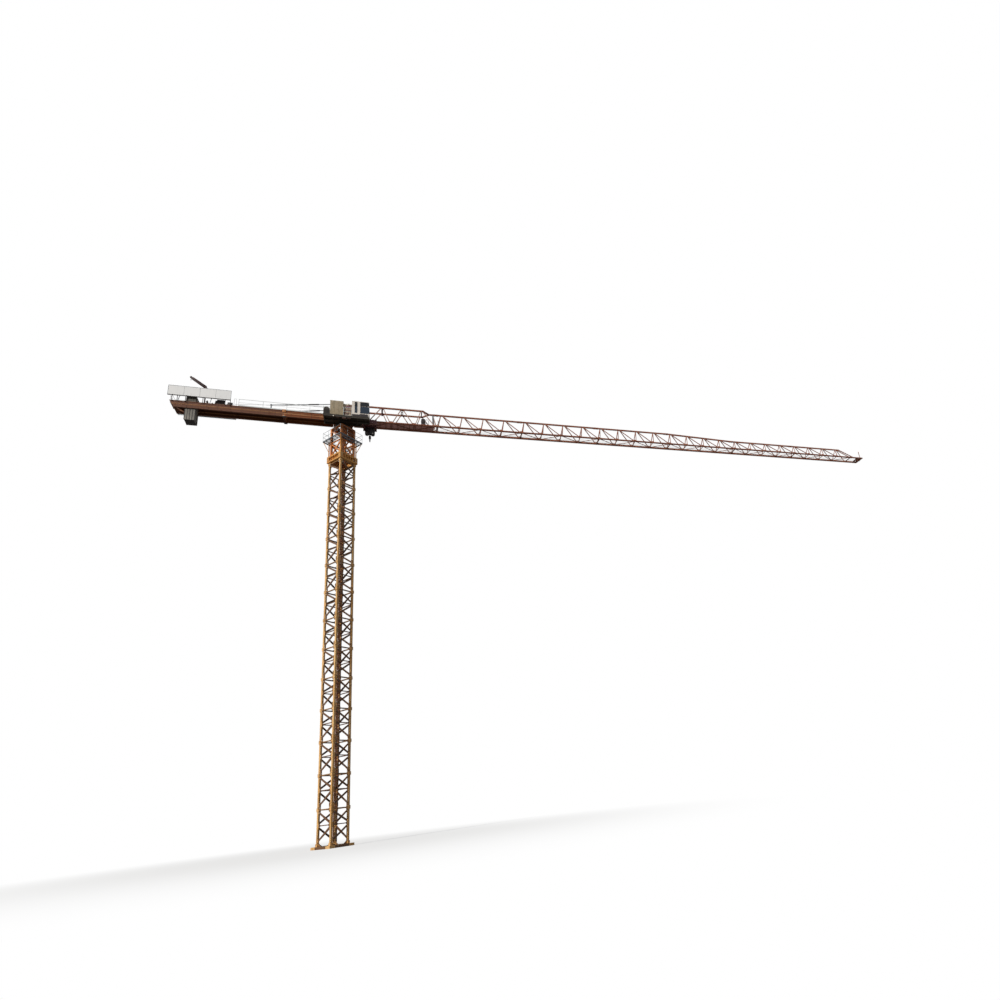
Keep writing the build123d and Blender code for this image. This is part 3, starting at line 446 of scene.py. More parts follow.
# Each plain paint: its colour, the colour it fades to, its rust, its grime and, if need be, its roughness
PAINTS = {
    "collar_gold": ((0.60, 0.27, 0.065), (0.68, 0.36, 0.11), 0.6, 0.5),
    "head_orange": ((0.66, 0.235, 0.075), (0.76, 0.33, 0.12), 0.6, 0.5),
    "panel_brown": ((0.30, 0.100, 0.038), (0.36, 0.13, 0.06), 0.5, 0.4),
    "derrick_maroon": ((0.030, 0.011, 0.013), (0.045, 0.018, 0.018), 0.3, 0.3),
    "trolley_maroon": ((0.135, 0.050, 0.060), (0.18, 0.075, 0.085), 0.4, 0.3),
    "ladder_brown": ((0.155, 0.058, 0.036), (0.20, 0.080, 0.052), 0.5, 0.4),
    "dusty_brown": ((0.20, 0.13, 0.11), (0.27, 0.19, 0.16), 0.3, 0.4),
    "rail_grey": ((0.62, 0.67, 0.68), (0.52, 0.56, 0.58), 0.1, 0.2),
    "lug_orange": ((0.52, 0.20, 0.055), (0.60, 0.27, 0.10), 0.4, 0.4),
    "oxide_red": ((0.075, 0.012, 0.014), (0.11, 0.025, 0.022), 0.4, 0.5),
    "cab_cream": ((0.74, 0.69, 0.63), (0.66, 0.62, 0.57), 0.1, 0.2),
    "cabinet_olive": ((0.42, 0.345, 0.235), (0.50, 0.43, 0.32), 0.35, 0.5),
    "machine_black": ((0.022, 0.019, 0.022), (0.045, 0.036, 0.036), 0.25, 0.2),
    "platform_dark": ((0.035, 0.030, 0.024), (0.06, 0.05, 0.035), 0.4, 0.3),
    "sign_white": ((0.87, 0.87, 0.87), (0.82, 0.83, 0.84), 0.03, 0.05, 0.35),
    "seat_vinyl": ((0.03, 0.03, 0.035), (0.05, 0.05, 0.055), 0, 0.1, 0.6),
    "lamp_amber": ((0.75, 0.22, 0.02), (0.8, 0.3, 0.05), 0, 0.1, 0.2),
}
FINISHES = {name: outdoor_paint(name, *values) for name, values in PAINTS.items()}
FINISHES |= {
    "mast_gold": outdoor_paint("mast_gold", (0.64, 0.355, 0.125), (0.76, 0.48, 0.21), 0.6, 0.5, mast=True),
    "jib_orange": outdoor_paint(
        "jib_orange", (0.230, 0.075, 0.040), (0.30, 0.12, 0.072), 0.5, 0.5, lacing=(0.50, 0.36, 0.30)),
    # Each beam colour is the web's darker colour, painted shade
    "counter_orange": outdoor_paint(
        "counter_orange", (0.20, 0.078, 0.036), (0.26, 0.105, 0.055), 0.5, 0.5, beam=(0.19, 0.055, 0.013)),
    "tail_brown": outdoor_paint(
        "tail_brown", (0.17, 0.075, 0.042), (0.21, 0.095, 0.058), 0.5, 0.5, beam=(0.11, 0.038, 0.016)),
    "tie_grey": zinc("tie_grey", (0.105, 0.125, 0.145), (0.060, 0.072, 0.084)),
    "walk_rail_grey": zinc("walk_rail_grey", (0.22, 0.26, 0.27), (0.15, 0.18, 0.19)),
    "zinc_grey": zinc("zinc_grey", (0.60, 0.66, 0.69), (0.42, 0.47, 0.50)),
    "greased_steel": greased_steel("greased_steel", (0.20, 0.19, 0.18), (0.03, 0.026, 0.022)),
    "bright_bolt": greased_steel("bright_bolt", (0.42, 0.40, 0.36), (0.16, 0.13, 0.10)),
    "rope_strand": strand("rope_strand"),
    "cast_concrete": cast_concrete(),
    "tinted_glass": tinted_glass(),
    "deck_grating": trodden_grating("deck_grating", (0.62, 0.33, 0.30)),
}

# The slot that goes with each finish. piece() looks up a piece's slot here, unless the piece names another,
# but keeps it nowhere
SLOT_OF_FINISH = {
    "bright_bolt": "bare_steel", "cab_cream": "white_paint", "cabinet_olive": "cabinet_paint",
    "collar_gold": "mast_paint", "counter_orange": "jib_paint", "deck_grating": "jib_paint",
    "derrick_maroon": "red_paint", "dusty_brown": "cabinet_paint", "greased_steel": "bare_steel",
    "head_orange": "mast_paint", "jib_orange": "jib_paint", "ladder_brown": "galvanised",
    "lamp_amber": "white_paint", "lug_orange": "jib_paint", "machine_black": "dark_paint",
    "mast_gold": "mast_paint", "oxide_red": "red_paint", "panel_brown": "mast_paint",
    "platform_dark": "dark_paint", "rail_grey": "galvanised", "rope_strand": "wire_rope",
    "seat_vinyl": "dark_paint", "tail_brown": "jib_paint", "tie_grey": "galvanised",
    "tinted_glass": "cab_panes", "trolley_maroon": "dark_paint", "walk_rail_grey": "galvanised",
    "zinc_grey": "galvanised",
}


def wired(tree, links):
    """Joins sockets, each link given as a node, its output, the next node and its input."""
    for start, name, end, socket in links:
        tree.links.new(start.outputs[name], end.inputs[socket])
    return tree


def new_tree(name, result, **inputs):
    """A Geometry Nodes tree with named inputs and one result, and the function that adds its nodes."""
    tree = bpy.data.node_groups.new(name, "GeometryNodeTree")
    for socket, kind in inputs.items():
        tree.interface.new_socket(socket, in_out="INPUT", socket_type="NodeSocket" + kind)
    tree.interface.new_socket(result, in_out="OUTPUT", socket_type="NodeSocketGeometry")
    return tree, tree.nodes.new


def repeat_tree():
    """Geometry Nodes: one unit set down Count times, each a Step on and a Turn round from the last."""
    tree, node = new_tree(
        "repeat_unit", "Pieces",
        Unit="Geometry", Count="Int", Step="Vector", Turn="Vector", Finish="Material",
    )
    given, result = node("NodeGroupInput"), node("NodeGroupOutput")
    line, number = node("GeometryNodeMeshLine"), node("GeometryNodeInputIndex")
    line.mode = "OFFSET"
    turned, rotation = node("ShaderNodeVectorMath"), node("FunctionNodeEulerToRotation")
    turned.operation = "SCALE"
    placed, real = node("GeometryNodeInstanceOnPoints"), node("GeometryNodeRealizeInstances")
    painted = node("GeometryNodeSetMaterial")
    return wired(tree, [
        (given, "Count", line, "Count"),
        (given, "Step", line, "Offset"),
        (given, "Turn", turned, 0),
        (number, "Index", turned, "Scale"),
        (turned, "Vector", rotation, "Euler"),
        (line, "Mesh", placed, "Points"),
        (given, "Unit", placed, "Instance"),
        (rotation, "Rotation", placed, "Rotation"),
        (placed, "Instances", real, "Geometry"),
        (real, "Geometry", painted, "Geometry"),
        (given, "Finish", painted, "Material"),
        (painted, "Geometry", result, "Pieces"),
    ])


def coil_tree():
    """Geometry Nodes: rope wound in a layer on a drum that lies along Z."""
    tree, node = new_tree(
        "wound_rope", "Coil", Turns="Float", Radius="Float", Length="Float", Rope="Float", Finish="Material")
    given, result = node("NodeGroupInput"), node("NodeGroupOutput")
    helix, section = node("GeometryNodeCurveSpiral"), node("GeometryNodeCurvePrimitiveCircle")
    helix.inputs["Resolution"].default_value = 20
    section.inputs["Resolution"].default_value = 6
    skin, painted = node("GeometryNodeCurveToMesh"), node("GeometryNodeSetMaterial")
    skin.inputs["Fill Caps"].default_value = True
    return wired(tree, [
        (given, "Turns", helix, "Rotations"),
        (given, "Radius", helix, "Start Radius"),
        (given, "Radius", helix, "End Radius"),
        (given, "Length", helix, "Height"),
        (given, "Rope", section, "Radius"),
        (helix, "Curve", skin, "Curve"),
        (section, "Curve", skin, "Profile Curve"),
        (skin, "Mesh", painted, "Geometry"),
        (given, "Finish", painted, "Material"),
        (painted, "Geometry", result, "Coil"),
    ])


REPEAT = repeat_tree()
COIL = coil_tree()


def shown(name, data):
    made = bpy.data.objects.new(name, data)
    bpy.context.scene.collection.objects.link(made)
    return made


def settle(unit, modifier):
    """Makes what a modifier does to an object the object's own plain mesh."""
    bpy.context.view_layer.update()
    mesh = bpy.data.meshes.new_from_object(unit.evaluated_get(bpy.context.evaluated_depsgraph_get()))
    unit.modifiers.remove(modifier)
    unit.data = mesh


def grown(unit, tree, values):
    """Runs a tree on an object, with a value for each of its named inputs."""
    modifier = unit.modifiers.new("grow", "NODES")
    modifier.node_group = tree
    for socket in tree.interface.items_tree:
        if socket.in_out == "INPUT" and socket.name in values:
            modifier[socket.identifier] = values[socket.name]
    settle(unit, modifier)


def piece(name, stock, finish, count=1, step=(0, 0, 0), turn=(0, 0, 0), body="upperworks", place=LEVEL,
          slot=None, bevel=0, stands_for=()):
    """Makes the stock one piece of the crane that rides on a body, repeated where it has a count."""
    mesh = bpy.data.meshes.new(name)
    mesh.from_pydata([place @ point * MM for point in stock.points], [], stock.faces)
    shape = bmesh.new()
    shape.from_mesh(mesh)
    bmesh.ops.recalc_face_normals(shape, faces=shape.faces)
    shape.to_mesh(mesh)
    shape.free()
    made = shown(name, mesh)
    if bevel:
        edges = made.modifiers.new("edges", "BEVEL")
        edges.width, edges.segments, edges.limit_method = bevel * MM, 2, "ANGLE"
        settle(made, edges)
    material = FINISHES[finish]
    if count > 1:
        along = place.to_3x3() @ Vector(step) * MM
        grown(made, REPEAT, {"Count": count, "Step": tuple(along), "Turn": tuple(turn), "Finish": material})
    made.data.materials.clear()
    made.data.materials.append(material)
    made.data.shade_smooth()
    made.data.set_sharp_from_angle(angle=SHARP_EDGE)
    made.data.name = name
    if body:
        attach(made, body)
    slot or SLOT_OF_FINISH[finish]
    if stands_for:
        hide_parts(*stands_for)
    return made


mast_piece = partial(piece, body="root", place=MAST)
race_piece = partial(piece, place=GROUND)
jib_piece = partial(piece, place=JIB)
trolley_piece = partial(piece, body="trolley", place=JIB)
block_piece = partial(piece, body="hook_block")


def coil(name, centre, radius, length, rope, place=LEVEL):
    """Rope wound on a drum that lies across the upper works."""
    made = shown(name, bpy.data.meshes.new(name))
    turns = length / (2.15 * rope)
    values = {"Turns": turns, "Radius": radius * MM, "Length": length * MM, "Rope": rope * MM}
    grown(made, COIL, {**values, "Finish": FINISHES["rope_strand"]})
    turn = Matrix.Rotation(-pi / 2, 4, "X")
    middle = Matrix.Translation((place @ Vector((centre[0], centre[1] - length / 2, centre[2]))) * MM)
    made.data.transform(middle @ turn)
    made.data.shade_smooth()
    made.data.name = name
    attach(made, "upperworks")


def dress_solids():
    """The solids that stay in view take their finishes."""
    finish_of_slot = {
        "mast_paint": "mast_gold",
        "jib_paint": "jib_orange",
        "red_paint": "oxide_red",
        "white_paint": "cab_cream",
        "cabinet_paint": "cabinet_olive",
        "dark_paint": "machine_black",
        "galvanised": "rail_grey",
        "bare_steel": "greased_steel",
        "wire_rope": "rope_strand",
        "concrete": "cast_concrete",
        "cab_panes": "tinted_glass",
    }
    finish_of_node = {
        "counter_jib_inner": "counter_orange",
        "counter_jib_outer": "tail_brown",
        "slewing_table": "counter_orange",
        "cab_platform": "platform_dark",
        "jib_deck": "deck_grating",
        "tower_head": "head_orange",
        "mast_collar": "collar_gold",
        "sign_board": "sign_white",
        "derrick_post": "derrick_maroon",
        "derrick_boom": "derrick_maroon",
        "trolley_frame": "trolley_maroon",
        "counter_ties": "tie_grey",
        "counter_guard_rail": "rail_grey",
    }
    for row in frame["record"]["subparts"]:
        node = row["node"]
        finish = finish_of_node.get(node, finish_of_slot[row["material_slot"]])
        solid = frame["nodes"][node]
        if not solid.material_slots:
            solid.data.materials.append(FINISHES[finish])
        for place in solid.material_slots:
            place.material = FINISHES[finish]


def mast_details():
    rails, angles, gussets, sleeves, bolts = Stock(), Stock(), Stock(), Stock(), Stock()
    face, brace_out = POST_PLACE + 8, POST_PLACE + 5.5
    middle, joint = BASE_TOP + SECTION / 2, BASE_TOP + SECTION
    corner_of_gusset = [(0, -24), (24, 0), (0, 24)]
    for out in FACES:
        at = partial(on_face, out)
        rails.bar(at(-POST_PLACE, POST_PLACE, middle), at(POST_PLACE, POST_PLACE, middle), 8)
        for start, end in ((joint - 31, middle + 16), (BASE_TOP + 16, middle - 16)):
            angles.bar(at(-78, brace_out, start), at(78, brace_out, end), 17, 2.5, up=(*out, 0))
        for side in (-1, 1):
            for z in (middle, joint - 15):
                edge = side * (POST_PLACE - 8)
                gussets.rings([[at(edge - side * p, depth, z + q) for p, q in corner_of_gusset]
                               for depth in (face - 2.5, face)])
            bolt = partial(at, side * 66, POST_PLACE + 6)
            for level in (joint - 34, joint + 4):
                sleeves.rod(bolt(level), bolt(level + 30), 5.5, 10)
            bolts.rod(bolt(joint - 42), bolt(joint + 42), 2.6, 8)
            for level in (joint - 41, joint + 34):
                bolts.rod(bolt(level), bolt(level + 5), 4.6, 6)
    sections = {"count": SECTIONS, "step": (0, 0, SECTION)}
    mast_piece("mast_mid_rails", rails, "mast_gold", **sections)
    mast_piece("mast_brace_angles", angles, "mast_gold", **sections)
    mast_piece("mast_gusset_plates", gussets, "mast_gold", **sections)
    mast_piece("mast_bolt_sleeves", sleeves, "mast_gold", **sections)
    mast_piece("mast_joint_bolts", bolts, "bright_bolt", **sections)


def ladder_details():
    """The ladder inside the mast, with its cage of hoops and strips."""
    low, high, pitch, half = 55, HEAD_TOP - 12, 28, 19
    cage_low, cage_radius, hoop_pitch = 320, 29, 58
    rungs = Stock().rod((LADDER_X - half, 0, low), (LADDER_X + half, 0, low), 1.8, 8)
    mast_piece("ladder_rungs", rungs, "ladder_brown", int((high - low) / pitch), (0, 0, pitch))
    stiles = Stock()
    for x in (LADDER_X - half, LADDER_X + half):
        stiles.bar((x, 0, low - 8), (x, 0, high), 3, 7)
        for number in range(SECTIONS):
            z = BASE_TOP + SECTION * (number + 1) - 15
            stiles.bar((x, 0, z), (x, POST_PLACE, z), 4)
    mast_piece("ladder_stiles", stiles, "ladder_brown")
    turns = [number * pi / 5 - 0.63 for number in range(9)]
    cage = [Vector((LADDER_X + cage_radius * cos(turn), half + cage_radius * sin(turn), cage_low))
            for turn in turns]
    hoop = Stock()
    for first, second in zip(cage, cage[1:]):
        hoop.bar(first, second, 2.4, 6)
    hoops = int((high - cage_low) / hoop_pitch) + 1
    mast_piece("ladder_cage_hoops", hoop, "ladder_brown", hoops, (0, 0, hoop_pitch))
    strips = Stock()
    for place in cage[::2]:
        strips.bar(place, (place.x, place.y, high), 5, 2.4)
    mast_piece("ladder_cage_strips", strips, "ladder_brown")


def base_details():
    base = Stock()
    near = POST_PLACE - 13
    for along in (-1, 1):
        outline = [(along * near, 22), (along * (near - 34), 22), (along * near, 44)]
        for across in (-POST_PLACE, POST_PLACE):
            for axis in "XY":
                base.plate(outline, across - 2, across + 2, axis)
    for y in (-POST_PLACE, POST_PLACE):
        base.bar((-POST_PLACE, y, 12), (POST_PLACE, -y, 12), 16, 12)
    mast_piece("base_stiffeners", base, "mast_gold")


def head_details():
    webs, ribs, bolts, braces = Stock(), Stock(), Stock(), Stock()
    half, low, high = 79, COLLAR_TOP + 16, COLLAR_TOP + 165
    for out in FACES:
        at = partial(on_face, out)
        webs.bar(at(74, 92, MAST_TOP + 37), at(-74, 92, MAST_TOP + 37), 2.5, 52)
        for along in (-44, -14, 14, 44):
            ribs.bar(at(along, 101, MAST_TOP + 14), at(along, 101, MAST_TOP + 60), 3, 18, up=(*out, 0))
        for along in (-96, -82, 82, 96):
            for level in (MAST_TOP + 24, MAST_TOP + 50):
                bolts.rod(at(along, 108, level), at(along, 112, level), 3.4, 6)
        braces.bar(at(-half, half, low), at(half, half, high), 11)
        braces.bar(at(half, half, low), at(-half, half, high), 11)
        if out != (0, -1):
            braces.bar(at(half, half, high + 20), at(-half, half, high + 165), 9)
    mast_piece("collar_webs", webs, "collar_gold")
    mast_piece("collar_ribs", ribs, "collar_gold")
    mast_piece("collar_bolts", bolts, "bright_bolt")
    mast_piece("head_cross_braces", braces, "head_orange")

    plate = Stock().box((-70, -83, COLLAR_TOP + 178), (70, -80.3, COLLAR_TOP + 346))
    mast_piece("head_panel_plate", plate, "panel_brown", bevel=0.6)
    panel_ribs = Stock()
    for x in (-60, -20, 20, 60):
        panel_ribs.box((x - 1.5, -85, COLLAR_TOP + 180), (x + 1.5, -82.6, COLLAR_TOP + 344))
    for z in (COLLAR_TOP + 182, COLLAR_TOP + 342):
        panel_ribs.box((-70, -84.6, z - 2), (70, -82.6, z + 2))
    mast_piece("head_panel_ribs", panel_ribs, "panel_brown")


def ring_platform_details():
    """The square walk round the head: an open grating in a thin frame, its props and light guard rail."""
    edge, hole, low = WALK_REACH, 92, WALK_TOP - 5
    frame_bars, toe, rail = Stock(), Stock(), Stock()
    for out in FACES:
        at = partial(on_face, out)
        frame_bars.bar(at(-edge, edge - 2.5, low + 2.5), at(edge, edge - 2.5, low + 2.5), 5)
        frame_bars.bar(at(-hole, hole, low + 2.5), at(hole, hole, low + 2.5), 4, 5)
        for along in (-hole, -46, 0, 46, hole):
            frame_bars.bar(at(along, hole, low + 2.5), at(along, edge - 2, low + 2.5), 3, 5)
        toe.bar(at(-edge, edge - 0.8, WALK_TOP + 4), at(edge, edge - 0.8, WALK_TOP + 4), 1.4, 11)
        for level in (56, 108):
            rail.bar(at(-edge + 2, edge - 2, WALK_TOP + level), at(edge - 2, edge - 2, WALK_TOP + level), 2.2)
        for along in (-edge + 2, -50, 50):
            rail.rod(at(along, edge - 2, low), at(along, edge - 2, WALK_TOP + 109), 1.3, 8)
    floor = Stock()
    for number in range(-14, 15):
        y = number * 10
        spans = [(-edge, -hole), (hole, edge)] if abs(y) < hole else [(-edge, edge)]
        for start, end in spans:
            floor.box((start + 3, y - 0.7, WALK_TOP - 3.5), (end - 3, y + 0.7, WALK_TOP - 0.2))
    props = Stock()
    for x in (-96, 96):
        for y in (-96, 96):
            props.box((x - 4, y - 4, COLLAR_TOP), (x + 4, y + 4, low))
            props.bar((x, y, COLLAR_TOP + 60), (x * 1.42, y * 1.42, low), 5)
    mast_piece("ring_walk_frame", frame_bars, "tie_grey", stands_for=["ring_platform"])
    mast_piece("ring_walk_grating", floor, "tie_grey")
    mast_piece("ring_toe_boards", toe, "tie_grey")
    mast_piece("ring_walk_rail", rail, "walk_rail_grey", stands_for=["ring_guard_rail"])
    mast_piece("ring_props", props, "collar_gold", slot="galvanised")


def slewing_details():
    lower = Stock().turned(
        [(66.0, 0), (84, 0), (86, 1.5), (86, 10.5), (84.5, 12), (66.0, 12)], (0, 0, RACE_LOW), sides=96)
    race_piece("lower_race_ring", lower, "greased_steel", body="root", stands_for=["lower_race"])
    upper = Stock().turned(
        [(66.5, 0), (84.5, 0), (86, 1.5), (86, 10.5), (84, 12), (66.5, 12)],
        (0, 0, RACE_SPLIT + 0.3), sides=96,
    )
    race_piece("upper_race_ring", upper, "greased_steel", stands_for=["upper_race"])
    tooth = Stock().plate([(-2.2, 86), (-1.2, 89), (1.2, 89), (2.2, 86), (2.2, 84), (-2.2, 84)],
                          RACE_LOW + 1, RACE_LOW + 10, "Z")
    race_piece("ring_teeth", tooth, "greased_steel", 72, body="root", turn=(0, 0, 2 * pi / 72))

    drives = Stock()
    motors = Stock()
    for x, y in ((52, 26), (-52, -26)):
        drives.rod((x, y, TABLE_TOP), (x, y, TABLE_TOP + 14), 15, 24)
        drives.rod((x, y, TABLE_TOP + 14), (x, y, TABLE_TOP + 40), 12, 24, 10)
        motors.rod((x, y, TABLE_TOP + 40), (x, y, TABLE_TOP + 76), 10, 24)
        motors.rod((x, y, TABLE_TOP + 76), (x, y, TABLE_TOP + 84), 10.5, 24, 7)
        for z in range(44, 76, 4):
            motors.rod((x, y, TABLE_TOP + z), (x, y, TABLE_TOP + z + 1.2), 11.5, 24)
        motors.box((x - 4, y - 15, TABLE_TOP + 52), (x + 4, y - 9, TABLE_TOP + 66))
    race_piece("slew_gearboxes", drives, "machine_black", bevel=1)
    race_piece("slew_motors", motors, "platform_dark")

    frame_braces = Stock()
    frame_plates = Stock()
    top = JIB_LEVEL + DEEP
    for y in (-CHORD_PLACE, CHORD_PLACE):
        frame_braces.bar((86, y, JIB_LEVEL + 6), (-86, y, top - 12), 7)
        frame_braces.bar((0, y, JIB_LEVEL + 6), (0, y, top), 7)
        for x in (-86, 86):
            for z in (JIB_LEVEL, top):
                frame_plates.box((x - 13, y - 7.5, z - 13), (x + 13, y + 7.5, z + 7.5))
            low, high = TABLE_TOP, TABLE_TOP + 24
            foot = [(x - 14, low), (x + 14, low), (x + 6, high), (x - 6, high)]
            frame_plates.plate(foot, y - 7, y + 7)
    race_piece("head_frame_braces", frame_braces, "jib_orange")
    race_piece("head_frame_plates", frame_plates, "jib_orange", bevel=1)
    pins = Stock()
    for x in (-98, 98):
        for y in (-CHORD_PLACE, CHORD_PLACE):
            for z in (JIB_LEVEL, top):
                pins.rod((x, y - 9, z), (x, y + 9, z), 3.4, 12)
    race_piece("head_frame_pins", pins, "bright_bolt")


def rope_wheel_stock(x, y, z, radius, stock=None):
    """Turned rope wheel: hub, thin web and a grooved rim, its rope at the given radius."""
    stock = stock or Stock()
    outer = radius + 1.2
    profile = [
        (2.3, -3.5), (5.2, -3.5), (5.2, -1.2), (radius - 4.5, -1.0), (radius - 3.4, -3.3), (outer, -3.5),
        (outer, -2.9), (radius - 1.3, -0.7), (radius - 1.3, 0.7), (outer, 2.9), (outer, 3.5),
        (radius - 3.4, 3.3), (radius - 4.5, 1.0), (5.2, 1.2), (5.2, 3.5), (2.3, 3.5),
    ]
    return stock.turned(profile, (x, y, z), "Y", 40)


def on_jib(x, z):
    """Place along the crane and height of a point given along and square to the jib, in the level place."""
    return x * cos(JIB_RISE) - z * sin(JIB_RISE), x * sin(JIB_RISE) + z * cos(JIB_RISE)


def jib_details():
    lacing = Stock()
    for start, side in ((0, -1), (BAY, 1)):
        lacing.bar((start + 8, side * 50, -0.5), (start + BAY - 8, -side * 50, -0.5), 5.5)
    for x in (BAY, 2 * BAY):
        lacing.bar((x, -CHORD_PLACE, 0), (x, CHORD_PLACE, 0), 6)
    jib_piece("jib_floor_lacing", lacing, "jib_orange", 14, (2 * BAY, 0, 0))

    inner, outer = CHORD_PLACE - 10, CHORD_PLACE + 6.8
    lugs = Stock().both((-34, inner, -9), (-3, outer, 10.5)).both((3, inner, -9), (34, outer, 10.5))
    pins, plates = Stock(), Stock()
    for side in (-1, 1):
        y = side * CHORD_PLACE
        pins.rod((0, y - side * 13, 0), (0, y + side * 6.5, 0), 4.2, 12)
        pins.rod((0, y - side * 13, 0), (0, y - side * 10.5, 0), 6, 12)
        plates.plate([(-26, 6), (26, 6), (14, 22), (-14, 22)], y - side * 1.5, y + side * 1.5)
    joints = {"count": 7, "step": (JIB_SECTION, 0, 0), "place": along_jib(JIB_SECTION)}
    piece("jib_joint_lugs", lugs, "jib_orange", bevel=0.8, **joints)
    piece("jib_joint_pins", pins, "bright_bolt", **joints)
    for name, first, count, depth in (("deep", 1, 4, DEEP), ("shallow", 5, 2, SHALLOW)):
        ridge = Stock()
        ridge.box((-30, -9.5, depth - 10), (-3, 9.5, depth + 7.4))
        ridge.box((3, -9.5, depth - 10), (30, 9.5, depth + 7.4))
        ridge.rod((0, -12, depth - 1), (0, 12, depth - 1), 4.2, 12)
        piece(f"ridge_joint_lugs_{name}", ridge, "jib_orange", count, (JIB_SECTION, 0, 0),
              place=along_jib(first * JIB_SECTION), bevel=0.8)
    piece("jib_foot_plates", plates, "jib_orange", 27, (BAY, 0, 0), place=along_jib(BAY))

    ropes = Stock()
    for y in (-22, 22):
        ropes.rod((870, y, 24), (940, y, -8), 0.9, 8)
        ropes.rod((940, y, -8), (7190, y, -8), 0.9, 8)
    jib_piece("trolley_ropes", ropes, "rope_strand")


def jib_tip_details():
    wheel_x = 7196
    groove = [(2.2, -2), (14, -2), (14, -1.2), (12.4, 0), (14, 1.2), (14, 2), (2.2, 2)]
    wheels = Stock()
    for y in (-22, 22):
        wheels.turned(groove, (wheel_x, y, 5), "Y", 32)
    jib_piece("tip_rope_wheels", wheels, "greased_steel")
    end = Stock().rod((wheel_x, -50, 5), (wheel_x, 50, 5), 2.2, 10)
    for y in (-30, -14, 14, 30):
        end.plate([(7180, -8), (7222, -8), (7222, 10), (7202, 20), (7184, 14)], y - 1.5, y + 1.5)
    end.box((7208, -60, -8), (7224, 60, 8)).box((7140, -52, 7), (7180, 52, 9))
    jib_piece("tip_end_frame", end, "jib_orange", bevel=0.8)
    x, y = 7187.5, -56
    lamp = Stock().rod((x, y, 100), (x, y, 104), 4, 12).rod((x, y, 104), (x, y, 112), 3.4, 12, 2)
    jib_piece("tip_lamp", lamp, "lamp_amber")


def first_section_details():
    """What joins the twin top chords, the uprights at their end and the plates at the jib's root."""
    crosses = Stock().rod((410, -CHORD_PLACE, DEEP), (410, CHORD_PLACE, DEEP), 9, 16)
    for y in (-CHORD_PLACE, CHORD_PLACE):
        crosses.box((400, y - 9, DEEP - 20), (420, y + 9, DEEP - 7))
    crosses.box((836, -CHORD_PLACE, DEEP - 4), (847, CHORD_PLACE, DEEP + 4))
    jib_piece("twin_chord_crosses", crosses, "oxide_red", bevel=1)
    bars = Stock()
    for x in (613, 636):
        bars.box((x, -CHORD_PLACE + 6, DEEP - 2), (x + 3, CHORD_PLACE - 6, DEEP + 5))
    for y in (-30, 0, 30):
        bars.box((616, y - 4, DEEP + 2), (636, y + 4, DEEP + 5))
    jib_piece("twin_chord_plate", bars, "dusty_brown", slot="jib_paint")
    uprights = Stock()
    for side in (-1, 1):
        uprights.bar((967, side * 49, 8), (967, side * 5, DEEP - 8), 9)
        uprights.bar((1022, side * 50, 8), (1022, side * 28, 98), 6)
    jib_piece("joint_uprights", uprights, "tie_grey")
    root = Stock().both((112, 27, -4), (172, 53, 3.2)).box((112, -52, 6.6), (118, 52, 40))
    jib_piece("root_frame_plates", root, "machine_black", bevel=0.8)


def jib_deck_details():
    bearers = Stock()
    for x in range(192, 960, 64):
        bearers.box((x - 2, -48, -3), (x + 2, 48, 3.4))
    jib_piece("deck_bearers", bearers, "jib_orange")
    toe = Stock().both((174, 46.5, 6.6), (973, 47.5, 16))
    jib_piece("deck_toe_boards", toe, "jib_orange")
    slats = Stock().box((176, -45, 6.5), (178, 45, 7.9))
    jib_piece("deck_slats", slats, "deck_grating", 66, (12, 0, 0))

    winch = Stock()
    axis = 26.5
    winch.rod((856, -31, axis), (856, -36, axis), 13, 24)
    winch.rod((856, 26, axis), (856, 44, axis), 11, 24, 9)
    winch.box((838, -44, 6.6), (874, -26.5, 40))
    winch.box((884, -24, 6.6), (904, 24, 34)).box((816, -20, 6.6), (832, 18, 30))
    winch.box((838, -28.4, 60), (874, -26.2, 100)).box((836, -27, 105.6), (876, 27, 108))
    arch = [(884, 34), (884, 96), (889, 104), (900, 106), (911, 102), (915, 90), (915, 8)]
    winch.pipe([(x, -20, z) for x, z in arch], 2.4, 8)
    jib_piece("trolley_winch_gear", winch, "machine_black", bevel=1)
    coil("trolley_winch_rope", (856, 0, axis), 18, 42, 1.0, JIB)

    root_x, root_z = on_jib(150, 2)
    wheels = rope_wheel_stock(0, 0, DEEP, 17.5)
    rope_wheel_stock(root_x, 0, root_z, 12, wheels)
    piece("head_rope_sheaves", wheels, "greased_steel", stands_for=["head_rope_wheels"])


